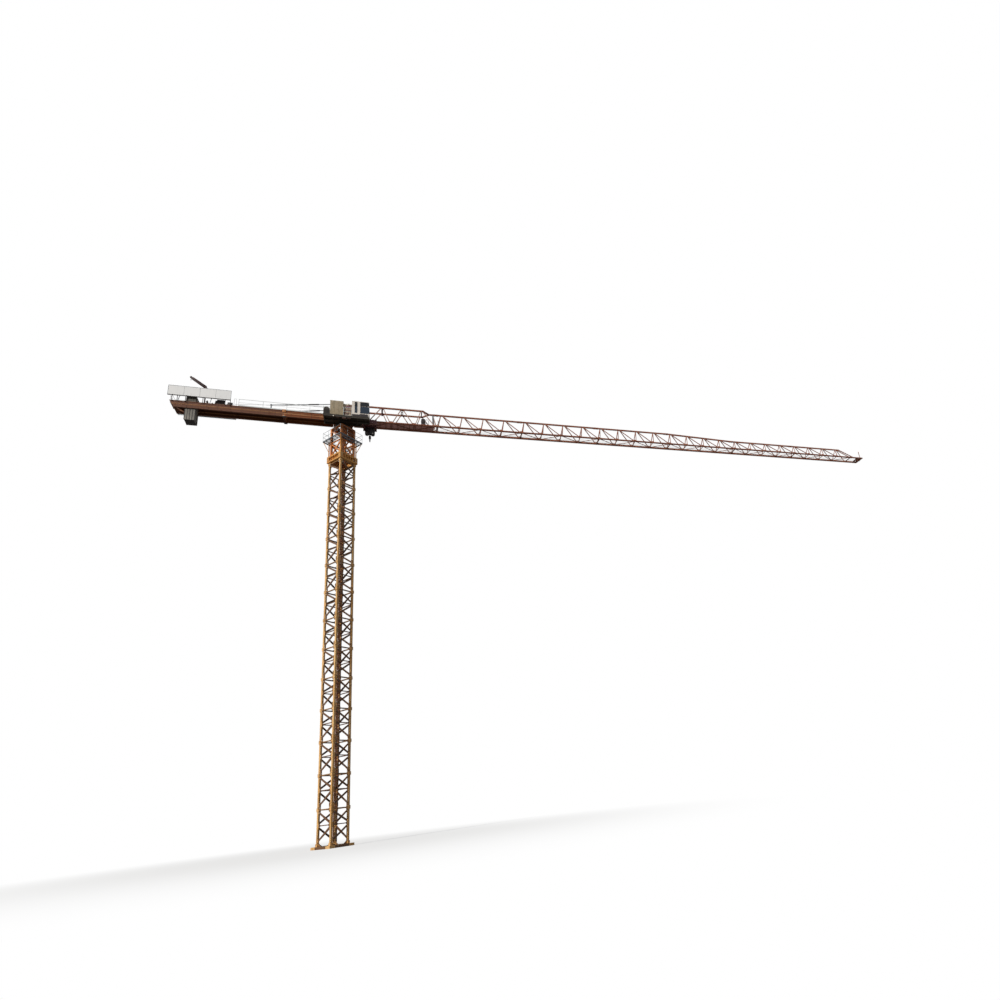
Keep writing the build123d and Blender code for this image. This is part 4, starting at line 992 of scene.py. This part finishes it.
def counter_beam_details():
    rails = Stock().both((-562, 59.4, 16), (-106, 62.6, 19.5)).both((-562, 59.4, -10), (-106, 62.6, -7.5))
    piece("inner_web_rails", rails, "counter_orange")
    rails = Stock().both((-1590, 59.4, 8), (-598, 62.6, 11))
    piece("outer_web_rails", rails, "tail_brown")
    stiffeners = Stock().both((-126, 59.4, -25), (-122, 62, 40))
    piece("beam_stiffeners", stiffeners, "tail_brown", 8, (-192, 0, 0))

    lugs = Stock().both((-596, 52, 22), (-564, 68, 52)).both((-594, 52, -29), (-566, 68, -18))
    piece("counter_joint_lugs", lugs, "lug_orange", bevel=1.5)
    feet = Stock().both((-592, 52, -40), (-560, 68, -29.5))
    piece("counter_joint_feet", feet, "machine_black", bevel=1.5)
    pins = Stock()
    for side in (-1, 1):
        for z in (37, -28):
            pins.rod((-580, side * 46, z), (-580, side * 72, z), 5, 14)
    piece("counter_joint_pins", pins, "bright_bolt")

    toe = Stock().both((-1010, 61.5, DECK_TOP), (-108, 62.5, DECK_TOP + 12))
    piece("counter_toe_boards", toe, "rail_grey")
    plates = Stock().box((-167, -50, 43), (-112, 50, 44.4))
    piece("counter_deck_plates", plates, "tail_brown", 8, (-58, 0, 0))
    middle = Stock()
    for y in (-62.5, 62.5):
        middle.bar((-1007, y, DECK_TOP + 43), (-107, y, DECK_TOP + 43), 1.6)
    piece("counter_middle_rails", middle, "rail_grey")


def walkway_details():
    """The walkway beside the sign, the gate in the near rail, and the tail's rail and beam."""
    brackets = Stock()
    for x in range(1066, 1590, 104):
        brackets.box((-x - 3, 59.5, 0), (-x, 127, 4.2))
    piece("walkway_brackets", brackets, "rail_grey")
    floor = Stock().box((-1590, 60, 4), (-1587, 130, 8)).box((-1065, 60, 4), (-1062, 130, 8))
    floor.box((-1590, 127, 4), (-1062, 130, 8)).box((-1590, 60, 4), (-1062, 64.5, 8))
    for y in range(71, 125, 7):
        floor.box((-1588, y, 5), (-1064, y + 1.3, 8))
    piece("walkway_frame", floor, "zinc_grey", stands_for=["far_walkway"])
    bars = Stock().box((-1576, 62, 6), (-1574.6, 128, 7.8))
    piece("walkway_bars", bars, "zinc_grey", 37, (14, 0, 0))
    rail = Stock()
    for x in range(1064, 1590, 105):
        rail.tube((-x, 128, 4), (-x, 128, 98))
    for z in (52, 98):
        rail.tube((-1589, 128, z), (-1064, 128, z))
    rail.box((-1589, 127, 8), (-1064, 128.4, 20))
    piece("walkway_rail", rail, "rail_grey")

    gate, gate_top = Stock(), DECK_TOP + 84
    for x in (-1030, -1050):
        gate.tube((x, -62, DECK_TOP), (x, -62, gate_top))
    gate.tube((-1050, -62, gate_top), (-1030, -62, gate_top))
    piece("near_rail_gate", gate, "rail_grey")

    tail, tail_top = Stock(), DECK_TOP + 92
    for y in (-60, 60):
        tail.tube((-1612, y, DECK_TOP), (-1612, y, tail_top))
    for z in (DECK_TOP + 48, tail_top):
        tail.tube((-1612, -60, z), (-1612, 60, z), (-1500, 60, z))
    tail.tube((-1500, 60, DECK_TOP), (-1500, 60, tail_top))
    piece("tail_rail", tail, "rail_grey")
    end = Stock().box((-1582, -58, -29), (-1576, 58, -6)).box((-1614, -58, 22), (-1604, 58, 44))
    piece("tail_beam", end, "counter_orange")


def counterweight_details():
    eyes, edges, rods = Stock(), Stock(), Stock()
    for number in range(4):
        x = -SLAB_START - SLAB_PITCH * number - SLAB_THICK / 2
        for y in (-30, 30):
            arch = [(x, y + 8 * cos(radians(a)), 122 + 10 * sin(radians(a))) for a in range(0, 181, 20)]
            eyes.pipe(arch, 1.6, 8)
        # Under each slab, a dark plate: painted shade of its underside
        edges.box((x - SLAB_THICK / 2, -48, -164), (x + SLAB_THICK / 2, 48, -161.5))
    piece("slab_lifting_eyes", eyes, "bright_bolt")
    # Dark strips at the joints between the slabs: painted shade in the gaps
    for number in range(5):
        x = -SLAB_START - SLAB_PITCH * number + 1.2
        edges.both((x - 2.6, 46, -163), (x + 2.6, 49.8, -31))
    piece("slab_gap_shade_strips", edges, "machine_black")
    far_end = -SLAB_START - 4 * SLAB_PITCH
    for y in (-34, 34):
        for z in (-60, 80):
            rods.rod((far_end - 3, y, z), (-SLAB_START + 5, y, z), 2.6, 10)
            for x in (far_end - 2, -SLAB_START):
                rods.rod((x, y, z), (x + 4, y, z), 5, 6)
    piece("slab_tie_rods", rods, "bright_bolt")


def sign_details():
    """Trim and frame of the bare board at the tail."""
    low, high = 99, 214
    trim = Stock().box((-1640, -76.4, high - 2), (-1080, -74.8, high))
    for x in (-1640, -1082):
        trim.box((x, -76.4, low), (x + 2, -74.8, high))
    for x in (-1500, -1360, -1220):
        trim.box((x, -75.4, low), (x + 1.2, -74.8, high))
    piece("sign_trim", trim, "tie_grey", slot="dark_paint")
    foot = Stock().box((-1640, -77, low - 2), (-1080, -74.6, low + 4))
    for x in (-1602, -1484, -1086):
        foot.box((x, -71.5, DECK_TOP - 8), (x + 5, -66.5, low + 4))
        foot.box((x, -71.5, DECK_TOP - 8), (x + 5, -62, DECK_TOP - 2))
    piece("sign_foot_rail", foot, "machine_black")
    back = Stock()
    for z in (130, 160, 190):
        back.box((-1636, -72, z), (-1084, -69, z + 3))
    for x in (-1520, -1240):
        back.bar((x, -66, 180), (x - 30, -56, DECK_TOP), 4)
    piece("sign_back_rails", back, "tie_grey", slot="dark_paint")


def on_tie(x, y):
    """A point of a counter-jib tie, which rises from its lug to the head frame."""
    return (x, y, 100 + 85.5 * ((TIE_LUG + x) / (TIE_LUG - 92.8)))


def tie_details():
    sleeves, couplings = Stock(), Stock()
    for y in (-55.5, 55.5):
        sleeves.rod(on_tie(-350, y), on_tie(-246, y), 6.4, 12)
        for x in (-560, -445):
            couplings.rod(on_tie(x - 9, y), on_tie(x + 9, y), 6, 10)
        couplings.rod((-TIE_LUG, y - 7, 100), (-TIE_LUG, y + 7, 100), 8.5, 14)
    piece("tie_sleeves", sleeves, "machine_black", slot="red_paint")
    piece("tie_couplings", couplings, "tie_grey", slot="red_paint")


def hoist_winch_details():
    winch = Stock().rod((-1176, 34, 76), (-1176, 52, 76), 15, 28).rod((-1210, 34, 66), (-1210, 56, 66), 9, 24)
    winch.box((-1236, -20, 43), (-1228, 20, 92)).box((-1160, -26, 43), (-1138, 26, 58))
    cheek = [(-1213, 44), (-1137, 44), (-1141, 114), (-1150, 118), (-1213, 118)]
    winch.plate(cheek, -37, -33.6).plate(cheek, 33.6, 37)
    winch.box((-1213, -36, 115), (-1150, 36, 118))
    winch.rod((-1253, -30, DECK_TOP), (-1253, -30, DECK_TOP + 32), 13, 20, 4)
    piece("hoist_winch_gear", winch, "machine_black", bevel=1.5)
    motor = Stock().rod((-1214, -26, 78), (-1214, 26, 78), 13, 28)
    for y in range(-24, 26, 4):
        motor.turned([(13, 0), (15.5, 0), (15.5, 1.2), (13, 1.2)], (-1214, y, 78), "Y", 28)
    piece("hoist_motor", motor, "platform_dark")
    coil("hoist_drum_rope", (-1176, 0, 76), 18.2, 48, 1.2)

    cabinets = Stock().box((-1128, -22, 43), (-1102, 20, 86)).box((-1096, 4, 43), (-1076, 40, 74))
    piece("winch_control_boxes", cabinets, "cabinet_olive", bevel=1.5)
    horn = Stock().rod((-1296, -46, DECK_TOP), (-1296, -46, DECK_TOP + 22), 3, 12)
    horn.rod((-1296, -46, DECK_TOP + 22), (-1296, -46, DECK_TOP + 42), 12, 20, 4)
    piece("derrick_horn", horn, "machine_black")
    box = Stock().box((-1110, -62, DECK_TOP), (-1064, -50, DECK_TOP + 34))
    piece("rail_box", box, "machine_black", bevel=1.5)


def derrick_details():
    foot = Vector((-1316, -56, 236.3))
    lean = radians(37.5)
    line = Vector((-cos(lean), 0, sin(lean)))
    end = foot + line * 180
    across = Vector((0, 1, 0))
    gear = Stock()
    gear.rod(end - across * 9, end + across * 9, 4, 14)
    gear.rod(foot + line * 30 - across * 11, foot + line * 30 + across * 11, 6, 16)
    gear.rod(end, end + Vector((0, 0, -26)), 0.8, 6)
    gear.rod(end + Vector((0, 0, -34)), end + Vector((0, 0, -26)), 3.4, 12, 2)
    piece("derrick_rope_gear", gear, "machine_black", body="derrick")
    cheeks = Stock()
    for y in (-8.6, 7.2):
        cheeks.add(*boom_plate(foot, line, y))
    for rise in (-1, 1):
        up = Vector((line.z, 0, -line.x)) * rise
        cheeks.bar(foot + line * 6 + up * 9, end - line * 14 + up * 7, 17, 3, up=(0, 1, 0))
    piece("derrick_cheeks", cheeks, "derrick_maroon", body="derrick", bevel=0.6)


def boom_plate(foot, line, y):
    """A plate along the derrick boom's side, as corners and faces."""
    up = Vector((line.z, 0, -line.x))
    corners = []
    for across in (y, y + 1.4):
        for along, rise in ((4, -10), (176, -6), (176, 6), (4, 10)):
            corners.append(foot + line * along + up * rise + Vector((0, across, 0)))
    sides = [(0, 1, 2, 3), (7, 6, 5, 4), (0, 4, 5, 1), (1, 5, 6, 2), (2, 6, 7, 3), (3, 7, 4, 0)]
    return corners, sides


def cab_details():
    outer, inner = -225, -101
    gasket = Stock()
    for y in (outer - 0.6, inner - 0.6):
        for low, high in ((-20, 66), (72, 120)):
            for x0, z0, x1, z1 in ((180, low - 2, 257, low), (180, high, 257, high + 2),
                                   (180, low, 182, high), (255, low, 257, high)):
                gasket.box((x0, y, z0), (x1, y + 1.2, z1))
    for x in (124.5, 150):
        gasket.box((x, outer - 0.6, -22), (x + 1.5, outer + 0.6, 122))
    piece("cab_window_seals", gasket, "machine_black")
    trim = Stock()
    trim.box((95, outer, CAB_TOP - 5), (272, outer + 2, CAB_TOP - 1))
    trim.box((98, outer + 2, CAB_TOP - 0.4), (266, inner - 2, CAB_TOP + 3))
    for y in (outer - 0.5, inner - 0.7):
        trim.box((99, y, PLATFORM_TOP + 1), (262, y + 1.2, PLATFORM_TOP + 5))
    corner = Stock()
    for low, high in ((-20, 66), (72, 120)):
        lean = 7 * (low + 20) / 148, 7 * (high + 20) / 148
        for y in (outer - 0.8, inner - 0.4):
            pane = [(254, low), (276.4 - lean[0], low), (276.4 - lean[1], high), (254, high)]
            corner.plate(pane, y, y + 1.2)
    piece("cab_corner_panes", corner, "tinted_glass")
    skirt = Stock().box((98, outer - 0.7, PLATFORM_TOP + 1), (262, outer + 0.5, PLATFORM_TOP + 24))
    skirt.box((176, outer - 0.8, PLATFORM_TOP + 4), (256, outer + 0.5, PLATFORM_TOP + 33))
    piece("cab_skirt", skirt, "machine_black")
    piece("cab_trim", trim, "cab_cream", bevel=0.5)
    handle = [(158, outer + 0.2, -6), (158, outer - 0.15, -4),
              (158, outer - 0.15, 34), (158, outer + 0.2, 36)]
    wiper = Stock().bar((275.6, -170, 4), (272.5, -150, 50), 1, 1.4).pipe(handle, 0.8, 6)
    piece("cab_wiper", wiper, "machine_black")
    seat = Stock()
    seat.box((176, -182, -50), (206, -144, -34)).box((170, -184, -34), (216, -142, -22))
    seat.box((162, -182, -24), (174, -144, 44)).box((164, -174, 46), (172, -152, 60))
    for y in (-196, -140):
        seat.box((182, y, -52), (224, y + 10, -10))
        seat.rod((214, y + 5, -10), (216, y + 5, 4), 1.6, 10)
    piece("cab_seat", seat, "seat_vinyl", bevel=4)

    hatch = Stock().box((112, -200, CAB_TOP), (160, -130, CAB_TOP + 2))
    hatch.rod((132, -212, CAB_TOP), (132, -212, CAB_TOP + 12), 2.4, 10)
    piece("cab_roof_hatch", hatch, "cab_cream", slot="cabinet_paint", bevel=0.8)


def cabinet_details():
    ribs = Stock().box((-118, -219, -56), (-115, -215.6, 110))
    piece("cabinet_ribs", ribs, "cabinet_olive", 14, (9.5, 0, 0))
    doors = Stock()
    for x in (-76.5, -33.5):
        doors.box((x, -216.8, -58), (x + 1.2, -215.8, 112))
    for x in (-84, -41, 2):
        doors.box((x - 1.5, -218.6, 20), (x + 1.5, -216, 36))
    piece("cabinet_door_gear", doors, "machine_black")
    roof = Stock().box((-122, -218, 114.6), (12, -126, 118))
    roof.box((-118, -214, 106), (8, -130, 115))
    piece("cabinet_roof", roof, "cabinet_olive", bevel=1)

    louvre = Stock().plate([(-182, -56), (-124, -56), (-124, -53.5), (-182, -54.6)], -218.2, -216)
    piece("resistor_louvres", louvre, "machine_black", 10, (0, 0, 6))
    hood = Stock()
    arc = [(-153 + 32 * cos(radians(a)), -1 + 31.5 * sin(radians(a))) for a in range(0, 181, 15)]
    shell = arc + [(-185, -62), (-121, -62)]
    for y in (-217, -158):
        hood.plate(shell, y, y + 2.5)
    piece("resistor_end_plates", hood, "platform_dark")


def locker_details():
    face = -198
    window = Stock().box((36, face - 1, 48), (82, face + 1, 82))
    window.box((14, face - 1.4, 2), (30, face + 1, 18)).box((62, face - 1, -14), (80, face + 1, -4))
    piece("locker_openings", window, "trolley_maroon", bevel=0.6)
    trays = Stock().box((14, face - 8, -48), (84, face, -42)).box((10, face - 2, 92), (90, face + 58, 99.5))
    trays.box((56, face - 12, 86), (72, face, 100)).box((14, face - 10, 26), (28, face, 38))
    piece("locker_shelves", trays, "cab_cream", bevel=0.8)
    locker = Stock()
    for x in (11, 34, 59, 86):
        locker.box((x - 1.2, face - 2, PLATFORM_TOP + 1), (x + 1.2, face + 1, 97))
    locker.box((11, face - 6, -34), (60, face, -12)).box((34, face - 5, 10), (86, face, 32))
    piece("locker_door_gear", locker, "dusty_brown", bevel=0.8)
    middle = Stock().bar((13, -216, PLATFORM_TOP + 54), (94, -216, PLATFORM_TOP + 54), 2.2)
    piece("platform_middle_rail", middle, "rail_grey")


def side_platform_details():
    posts = Stock()
    for x in (-110, 0, 42, 130):
        top_end = 140 if x < 100 else CAB_TOP + 9
        posts.rod((x, -150, 96 if x > 10 else 114), (x, -150, top_end), 2, 8)
        posts.rod((x, -150, top_end - 6), (x, -150, top_end), 4, 10, 3)
    piece("platform_lamp_posts", posts, "rail_grey")
    under = Stock()
    under.box((2, -222, -92), (42, -196, -70)).box((48, -222, -88), (88, -200, -70))
    under.box((-60, -222, -84), (-24, -206, -70))
    piece("under_platform_boxes", under, "dusty_brown", slot="dark_paint", bevel=1.2)
    # A cream lamp body placed where a glint shows: a painted highlight
    lamp = Stock().rod((-86, -224.5, -80), (-86, -214, -80), 6.5, 18, 4)
    piece("platform_lamp", lamp, "cab_cream")

    step = Stock().box((97, -101, -67), (196, -72, -63)).box((97, -101, -84), (103, -72, -67))
    step.box((188, -101, -84), (196, -72, -67)).box((140, -101, -80), (146, -72, -67))
    step.box((-186, -76, -84), (184, -71, -60))
    piece("cab_step", step, "platform_dark")

    beams = Stock()
    for x in (-180, -96, -12, 72, 150, 230):
        beams.box((x, -222, -82), (x + 6, -78 if x < 90 else -104, -70))
    for y in (-224, -150):
        beams.box((-184, y, -86), (274, y + 5, -70))
    piece("platform_beams", beams, "platform_dark")
    rails = Stock()
    for x in (-184, -150):
        rails.tube((x, -120, PLATFORM_TOP), (x, -120, 40))
    for z in (-8, 40):
        rails.tube((-184, -120, z), (-130, -120, z))
        rails.tube((-184, -214, z), (-184, -120, z))
    rails.tube((-184, -214, PLATFORM_TOP), (-184, -214, 40))
    piece("platform_end_rail", rails, "rail_grey")
    conduit = Stock()
    bends = [(-126, 90), (-118, 92), (-110, 80), (-100, -40), (-90, -58)]
    conduit.pipe([(-60, y, z) for y, z in bends], 2.4, 10)
    bends = [(-126, 70), (-116, 72), (-108, 60), (-98, -44), (-88, -58)]
    conduit.pipe([(-20, y, z) for y, z in bends], 1.8, 10)
    conduit.pipe([(-130, -160, 18), (-124, -160, 26), (-118, -160, 26)], 2, 8)
    piece("platform_conduits", conduit, "machine_black")


def trolley_details():
    wheels, bolts, guards = Stock(), Stock(), Stock()
    axis, rail_side, bolt_face, guard = 4.3, 63.3, 78.5, 77
    for side in (-1, 1):
        profile = [(2.3, 0), (10, 0), (10, side * 4), (9, side * 5), (6.5, side * 5), (6, side * 3.6),
                   (4, side * 3.6), (3.6, side * 5), (2.3, side * 5)]
        y = side * bolt_face
        for x in (229, 325):
            wheels.turned(profile, (x, side * rail_side, axis), "Y", 32)
            bolts.rod((x, y, axis), (x, y + side * 3, axis), 4.4, 6)
        for x in (211, 250, 304, 343):
            bolts.rod((x, y, -30), (x, y + side * 1.8, -30), 2.4, 6)
        guards.box((205, side * guard - 3, -38), (349, side * guard + 3, -34))
        guards.bar((240, side * 40, -33), (314, side * 8, -33), 5)
    sheaves = Stock()
    for x in (217, FALLS_ALONG, 337):
        rope_wheel_stock(x, 0, -22, 12, sheaves)
    trolley_piece("trolley_runners", wheels, "greased_steel", stands_for=["trolley_wheels"])
    trolley_piece("trolley_sheaves", sheaves, "greased_steel", stands_for=["trolley_rope_wheels"])
    trolley_piece("trolley_bolts", bolts, "bright_bolt")
    trolley_piece("trolley_stiffeners", guards, "trolley_maroon")


FALLS_ALONG = 277
FALL_X, FALLS_TOP = on_jib(FALLS_ALONG, -22)
BLOCK_HIGH = on_jib(205, -38)[1] - 8
BLOCK_LOW = BLOCK_HIGH - 98
BLOCK_AXIS = BLOCK_LOW + 22
BLOCK_WHEEL, BLOCK_WHEEL_RADIUS = 30, 18


def hook_block_details():
    cheeks = Stock()
    outline = [(-52, BLOCK_AXIS), (-52, BLOCK_HIGH - 14), (-46, BLOCK_HIGH - 4), (-38, BLOCK_HIGH),
               (38, BLOCK_HIGH), (46, BLOCK_HIGH - 4), (52, BLOCK_HIGH - 14), (52, BLOCK_AXIS)]
    for centre in (BLOCK_WHEEL, -BLOCK_WHEEL):
        for angle in range(-15, -181, -15):
            x, z = centre + 22 * cos(radians(angle)), BLOCK_AXIS + 22 * sin(radians(angle))
            if abs(x) >= 14:
                outline.append((x, z))
        if centre > 0:
            outline += [(10, BLOCK_AXIS - 11), (-10, BLOCK_AXIS - 11)]
    outline = [(FALL_X + x, z) for x, z in outline]
    for y in (-13.5, 9.5):
        cheeks.plate(outline, y, y + 4)
    axles, wheels = Stock(), Stock()
    for x in (FALL_X - BLOCK_WHEEL, FALL_X + BLOCK_WHEEL):
        axles.rod((x, -15.5, BLOCK_AXIS), (x, 15.5, BLOCK_AXIS), 2.1, 14)
        for y in (-16.2, 13.5):
            axles.rod((x, y, BLOCK_AXIS), (x, y + 2.7, BLOCK_AXIS), 5.5, 6)
        rope_wheel_stock(x, 0, BLOCK_AXIS, BLOCK_WHEEL_RADIUS, wheels)
    crosshead = Stock()
    low = BLOCK_LOW + 30
    crosshead.turned([(4.8, 0), (10, 0), (10, 10), (4.8, 10)], (FALL_X, 0, low), sides=24)
    cheeks.box((FALL_X - 10, -9.6, low), (FALL_X - 5.4, 9.6, low + 10))
    cheeks.box((FALL_X + 5.4, -9.6, low), (FALL_X + 10, 9.6, low + 10))
    for x in (-44, 44):
        cheeks.rod((FALL_X + x, -9.6, BLOCK_HIGH - 18), (FALL_X + x, 9.6, BLOCK_HIGH - 18), 3, 12)
    block_piece("block_cheeks", cheeks, "machine_black", bevel=0.8, stands_for=["hook_block"])
    block_piece("block_crosshead", crosshead, "machine_black")
    block_piece("block_axles", axles, "bright_bolt")
    block_piece("block_sheaves", wheels, "greased_steel", stands_for=["block_rope_wheels"])

    falls = Stock()
    for wheel in (-BLOCK_WHEEL, BLOCK_WHEEL):
        for x in (FALL_X + wheel - BLOCK_WHEEL_RADIUS, FALL_X + wheel + BLOCK_WHEEL_RADIUS):
            falls.rod((x, 0, BLOCK_AXIS), (x, 0, FALLS_TOP), 1.2, 8)
    ropes = piece("rope_falls_wires", falls, "rope_strand", body=None, stands_for=["rope_falls"])
    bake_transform(ropes)


def hook_details():
    eye = BLOCK_LOW - 42
    centre, bow_radius, nut_low = eye - 21, 15.6, BLOCK_LOW + 40.3
    shank = Stock()
    shank.rod((FALL_X, 0, eye - 4), (FALL_X, 0, BLOCK_LOW + 44), 4.4, 20)
    shank.turned([(0, -6), (8, -6), (12, 0), (12, 30), (9, 37), (0, 37)], (FALL_X, 0, eye), sides=24)
    shank.rod((FALL_X, 0, nut_low), (FALL_X, 0, nut_low + 8), 7.9, 6)
    bow = [(FALL_X, bow_radius * cos(radians(angle)), centre + bow_radius * sin(radians(angle)))
           for angle in range(96, 361, 12)]
    path = [(FALL_X, 0, eye - 1), *bow, (FALL_X, bow_radius + 0.3, centre + 4)]
    shank.pipe(path, lambda share: 6.6 - 4.0 * max(0, share - 0.45) / 0.55, 14)
    piece("lifting_hook", shank, "machine_black", body="hook", slot="bare_steel", stands_for=["hook"])
    latch = Stock().bar((FALL_X, 3, eye - 7), (FALL_X, 13.5, centre + 6), 3, 1.4, up=(1, 0, 0))
    piece("hook_latch", latch, "bright_bolt", body="hook")


def hoist_rope_details():
    """The hoist rope as round runs: drum to head wheel, head wheel to root wheel, along under the jib."""
    runs = Stock()
    root_x, root_z = on_jib(150, 2)
    anchor = on_jib(7217, -10)
    under_root = on_jib(150, -10)
    runs.rod((-1178, 0, 94.4), (-0.5, 0, 207.4), 1.2, 8)
    runs.rod((16.8, 0, 195), (root_x - 10.2, 0, root_z - 6.4), 1.2, 8)
    runs.rod((under_root[0], 0, under_root[1]), (anchor[0], 0, anchor[1]), 1.2, 8)
    piece("hoist_rope_runs", runs, "rope_strand", stands_for=["hoist_rope"])


# The photo's view, fitted to the crane. Lengths are metres, and sizes in the picture are its pixels
PICTURE = 1000
FOCUS = 593.66
VIEW_CENTRE = (584.33, 592.39)
VIEW_PLACE = (0.3684, -5.9845, JIB_LEVEL * MM - 4.1721)
VIEW_FORWARD = (0.32795, 0.88737, 0.32407)
VIEW_UP = (-0.00213, -0.34235, 0.93957)

SUN_FROM = (-0.66, -0.60, 0.45)
SUN_STRENGTH = 3.2
SKY_FILL = 0.16


def studio_floor():
    """A floor with the crane's shadow that fades to white round it and lights it as a dull ground does."""
    floor = Stock().box((-60000, -60000, -200), (60000, 60000, 0))
    mesh = bpy.data.meshes.new("floor")
    mesh.from_pydata([point * MM for point in floor.points], [], floor.faces)
    finish = Finish("studio_floor")
    distance = finish.node("ShaderNodeVectorMath", {"operation": "LENGTH"}, {0: finish.place}, "Value")
    camera_ray = finish.node("ShaderNodeLightPath", {}, {}, "Is Camera Ray")
    seen_tone = finish.mix(finish.noise(2, 3) * 0.5, (0.84, 0.84, 0.84), (0.88, 0.88, 0.88))
    tone = finish.mix(camera_ray, (0.34, 0.325, 0.31), seen_tone)
    matt = finish.node("ShaderNodeBsdfDiffuse", {}, {"Color": tone})
    white = finish.node("ShaderNodeEmission", {}, {"Color": (1, 1, 1, 1), "Strength": 1.0})
    share = (distance.above(0.6, 4.0) * 0.4 + 0.6) * camera_ray
    finish.node_end(finish.node("ShaderNodeMixShader", {}, {0: share, 1: matt, 2: white}))
    mesh.materials.append(finish.material)
    ground = shown("floor", mesh)


def studio_sky():
    """White where the camera, metal or glass sees it, and a weak fill as a light."""
    world = bpy.data.worlds.new("studio")
    bpy.context.scene.world = world
    world.use_nodes = True
    tree = world.node_tree
    tree.nodes.clear()
    node = tree.nodes.new
    rays, seen, seen_too = node("ShaderNodeLightPath"), node("ShaderNodeMath"), node("ShaderNodeMath")
    seen.operation = seen_too.operation = "MAXIMUM"
    fill, backdrop = node("ShaderNodeBackground"), node("ShaderNodeBackground")
    fill.inputs["Color"].default_value = (0.93, 0.96, 1.0, 1)
    fill.inputs["Strength"].default_value = SKY_FILL
    backdrop.inputs["Color"].default_value = (1, 1, 1, 1)
    backdrop.inputs["Strength"].default_value = 1.0
    mixed, end = node("ShaderNodeMixShader"), node("ShaderNodeOutputWorld")
    wired(tree, [
        (rays, "Is Camera Ray", seen, 0),
        (rays, "Is Transmission Ray", seen, 1),
        (seen, 0, seen_too, 0),
        (rays, "Is Glossy Ray", seen_too, 1),
        (seen_too, 0, mixed, 0),
        (fill, 0, mixed, 1),
        (backdrop, 0, mixed, 2),
        (mixed, 0, end, "Surface"),
    ])


def sun_and_camera():
    sun = bpy.data.lights.new("sun", "SUN")
    sun.energy = SUN_STRENGTH
    sun.angle = radians(1.5)
    sun.color = (1.0, 0.97, 0.92)
    shown("sun", sun).rotation_euler = Vector(SUN_FROM).to_track_quat("Z", "Y").to_euler()

    lens = bpy.data.cameras.new("photo_view")
    lens.sensor_width = 36
    lens.lens = FOCUS * lens.sensor_width / PICTURE
    lens.shift_x = (PICTURE / 2 - VIEW_CENTRE[0]) / PICTURE
    lens.shift_y = (VIEW_CENTRE[1] - PICTURE / 2) / PICTURE
    lens.clip_end = 200
    camera = shown("photo_view", lens)
    forward = Vector(VIEW_FORWARD).normalized()
    right = forward.cross(Vector(VIEW_UP)).normalized()
    turn = Matrix((right, right.cross(forward), -forward)).transposed()
    camera.matrix_world = Matrix.Translation(VIEW_PLACE) @ turn.to_4x4()
    bpy.context.scene.camera = camera
    bpy.context.scene.view_settings.view_transform = "Standard"


dress_solids()
for details in (
    mast_details, ladder_details, base_details, head_details, ring_platform_details, slewing_details,
    jib_details, jib_tip_details, first_section_details, jib_deck_details,
    counter_beam_details, walkway_details, counterweight_details, sign_details, tie_details,
    hoist_winch_details, derrick_details, cab_details, cabinet_details, locker_details,
    side_platform_details, trolley_details, hook_block_details, hook_details, hoist_rope_details,
):
    details()
studio_floor()
studio_sky()
sun_and_camera()
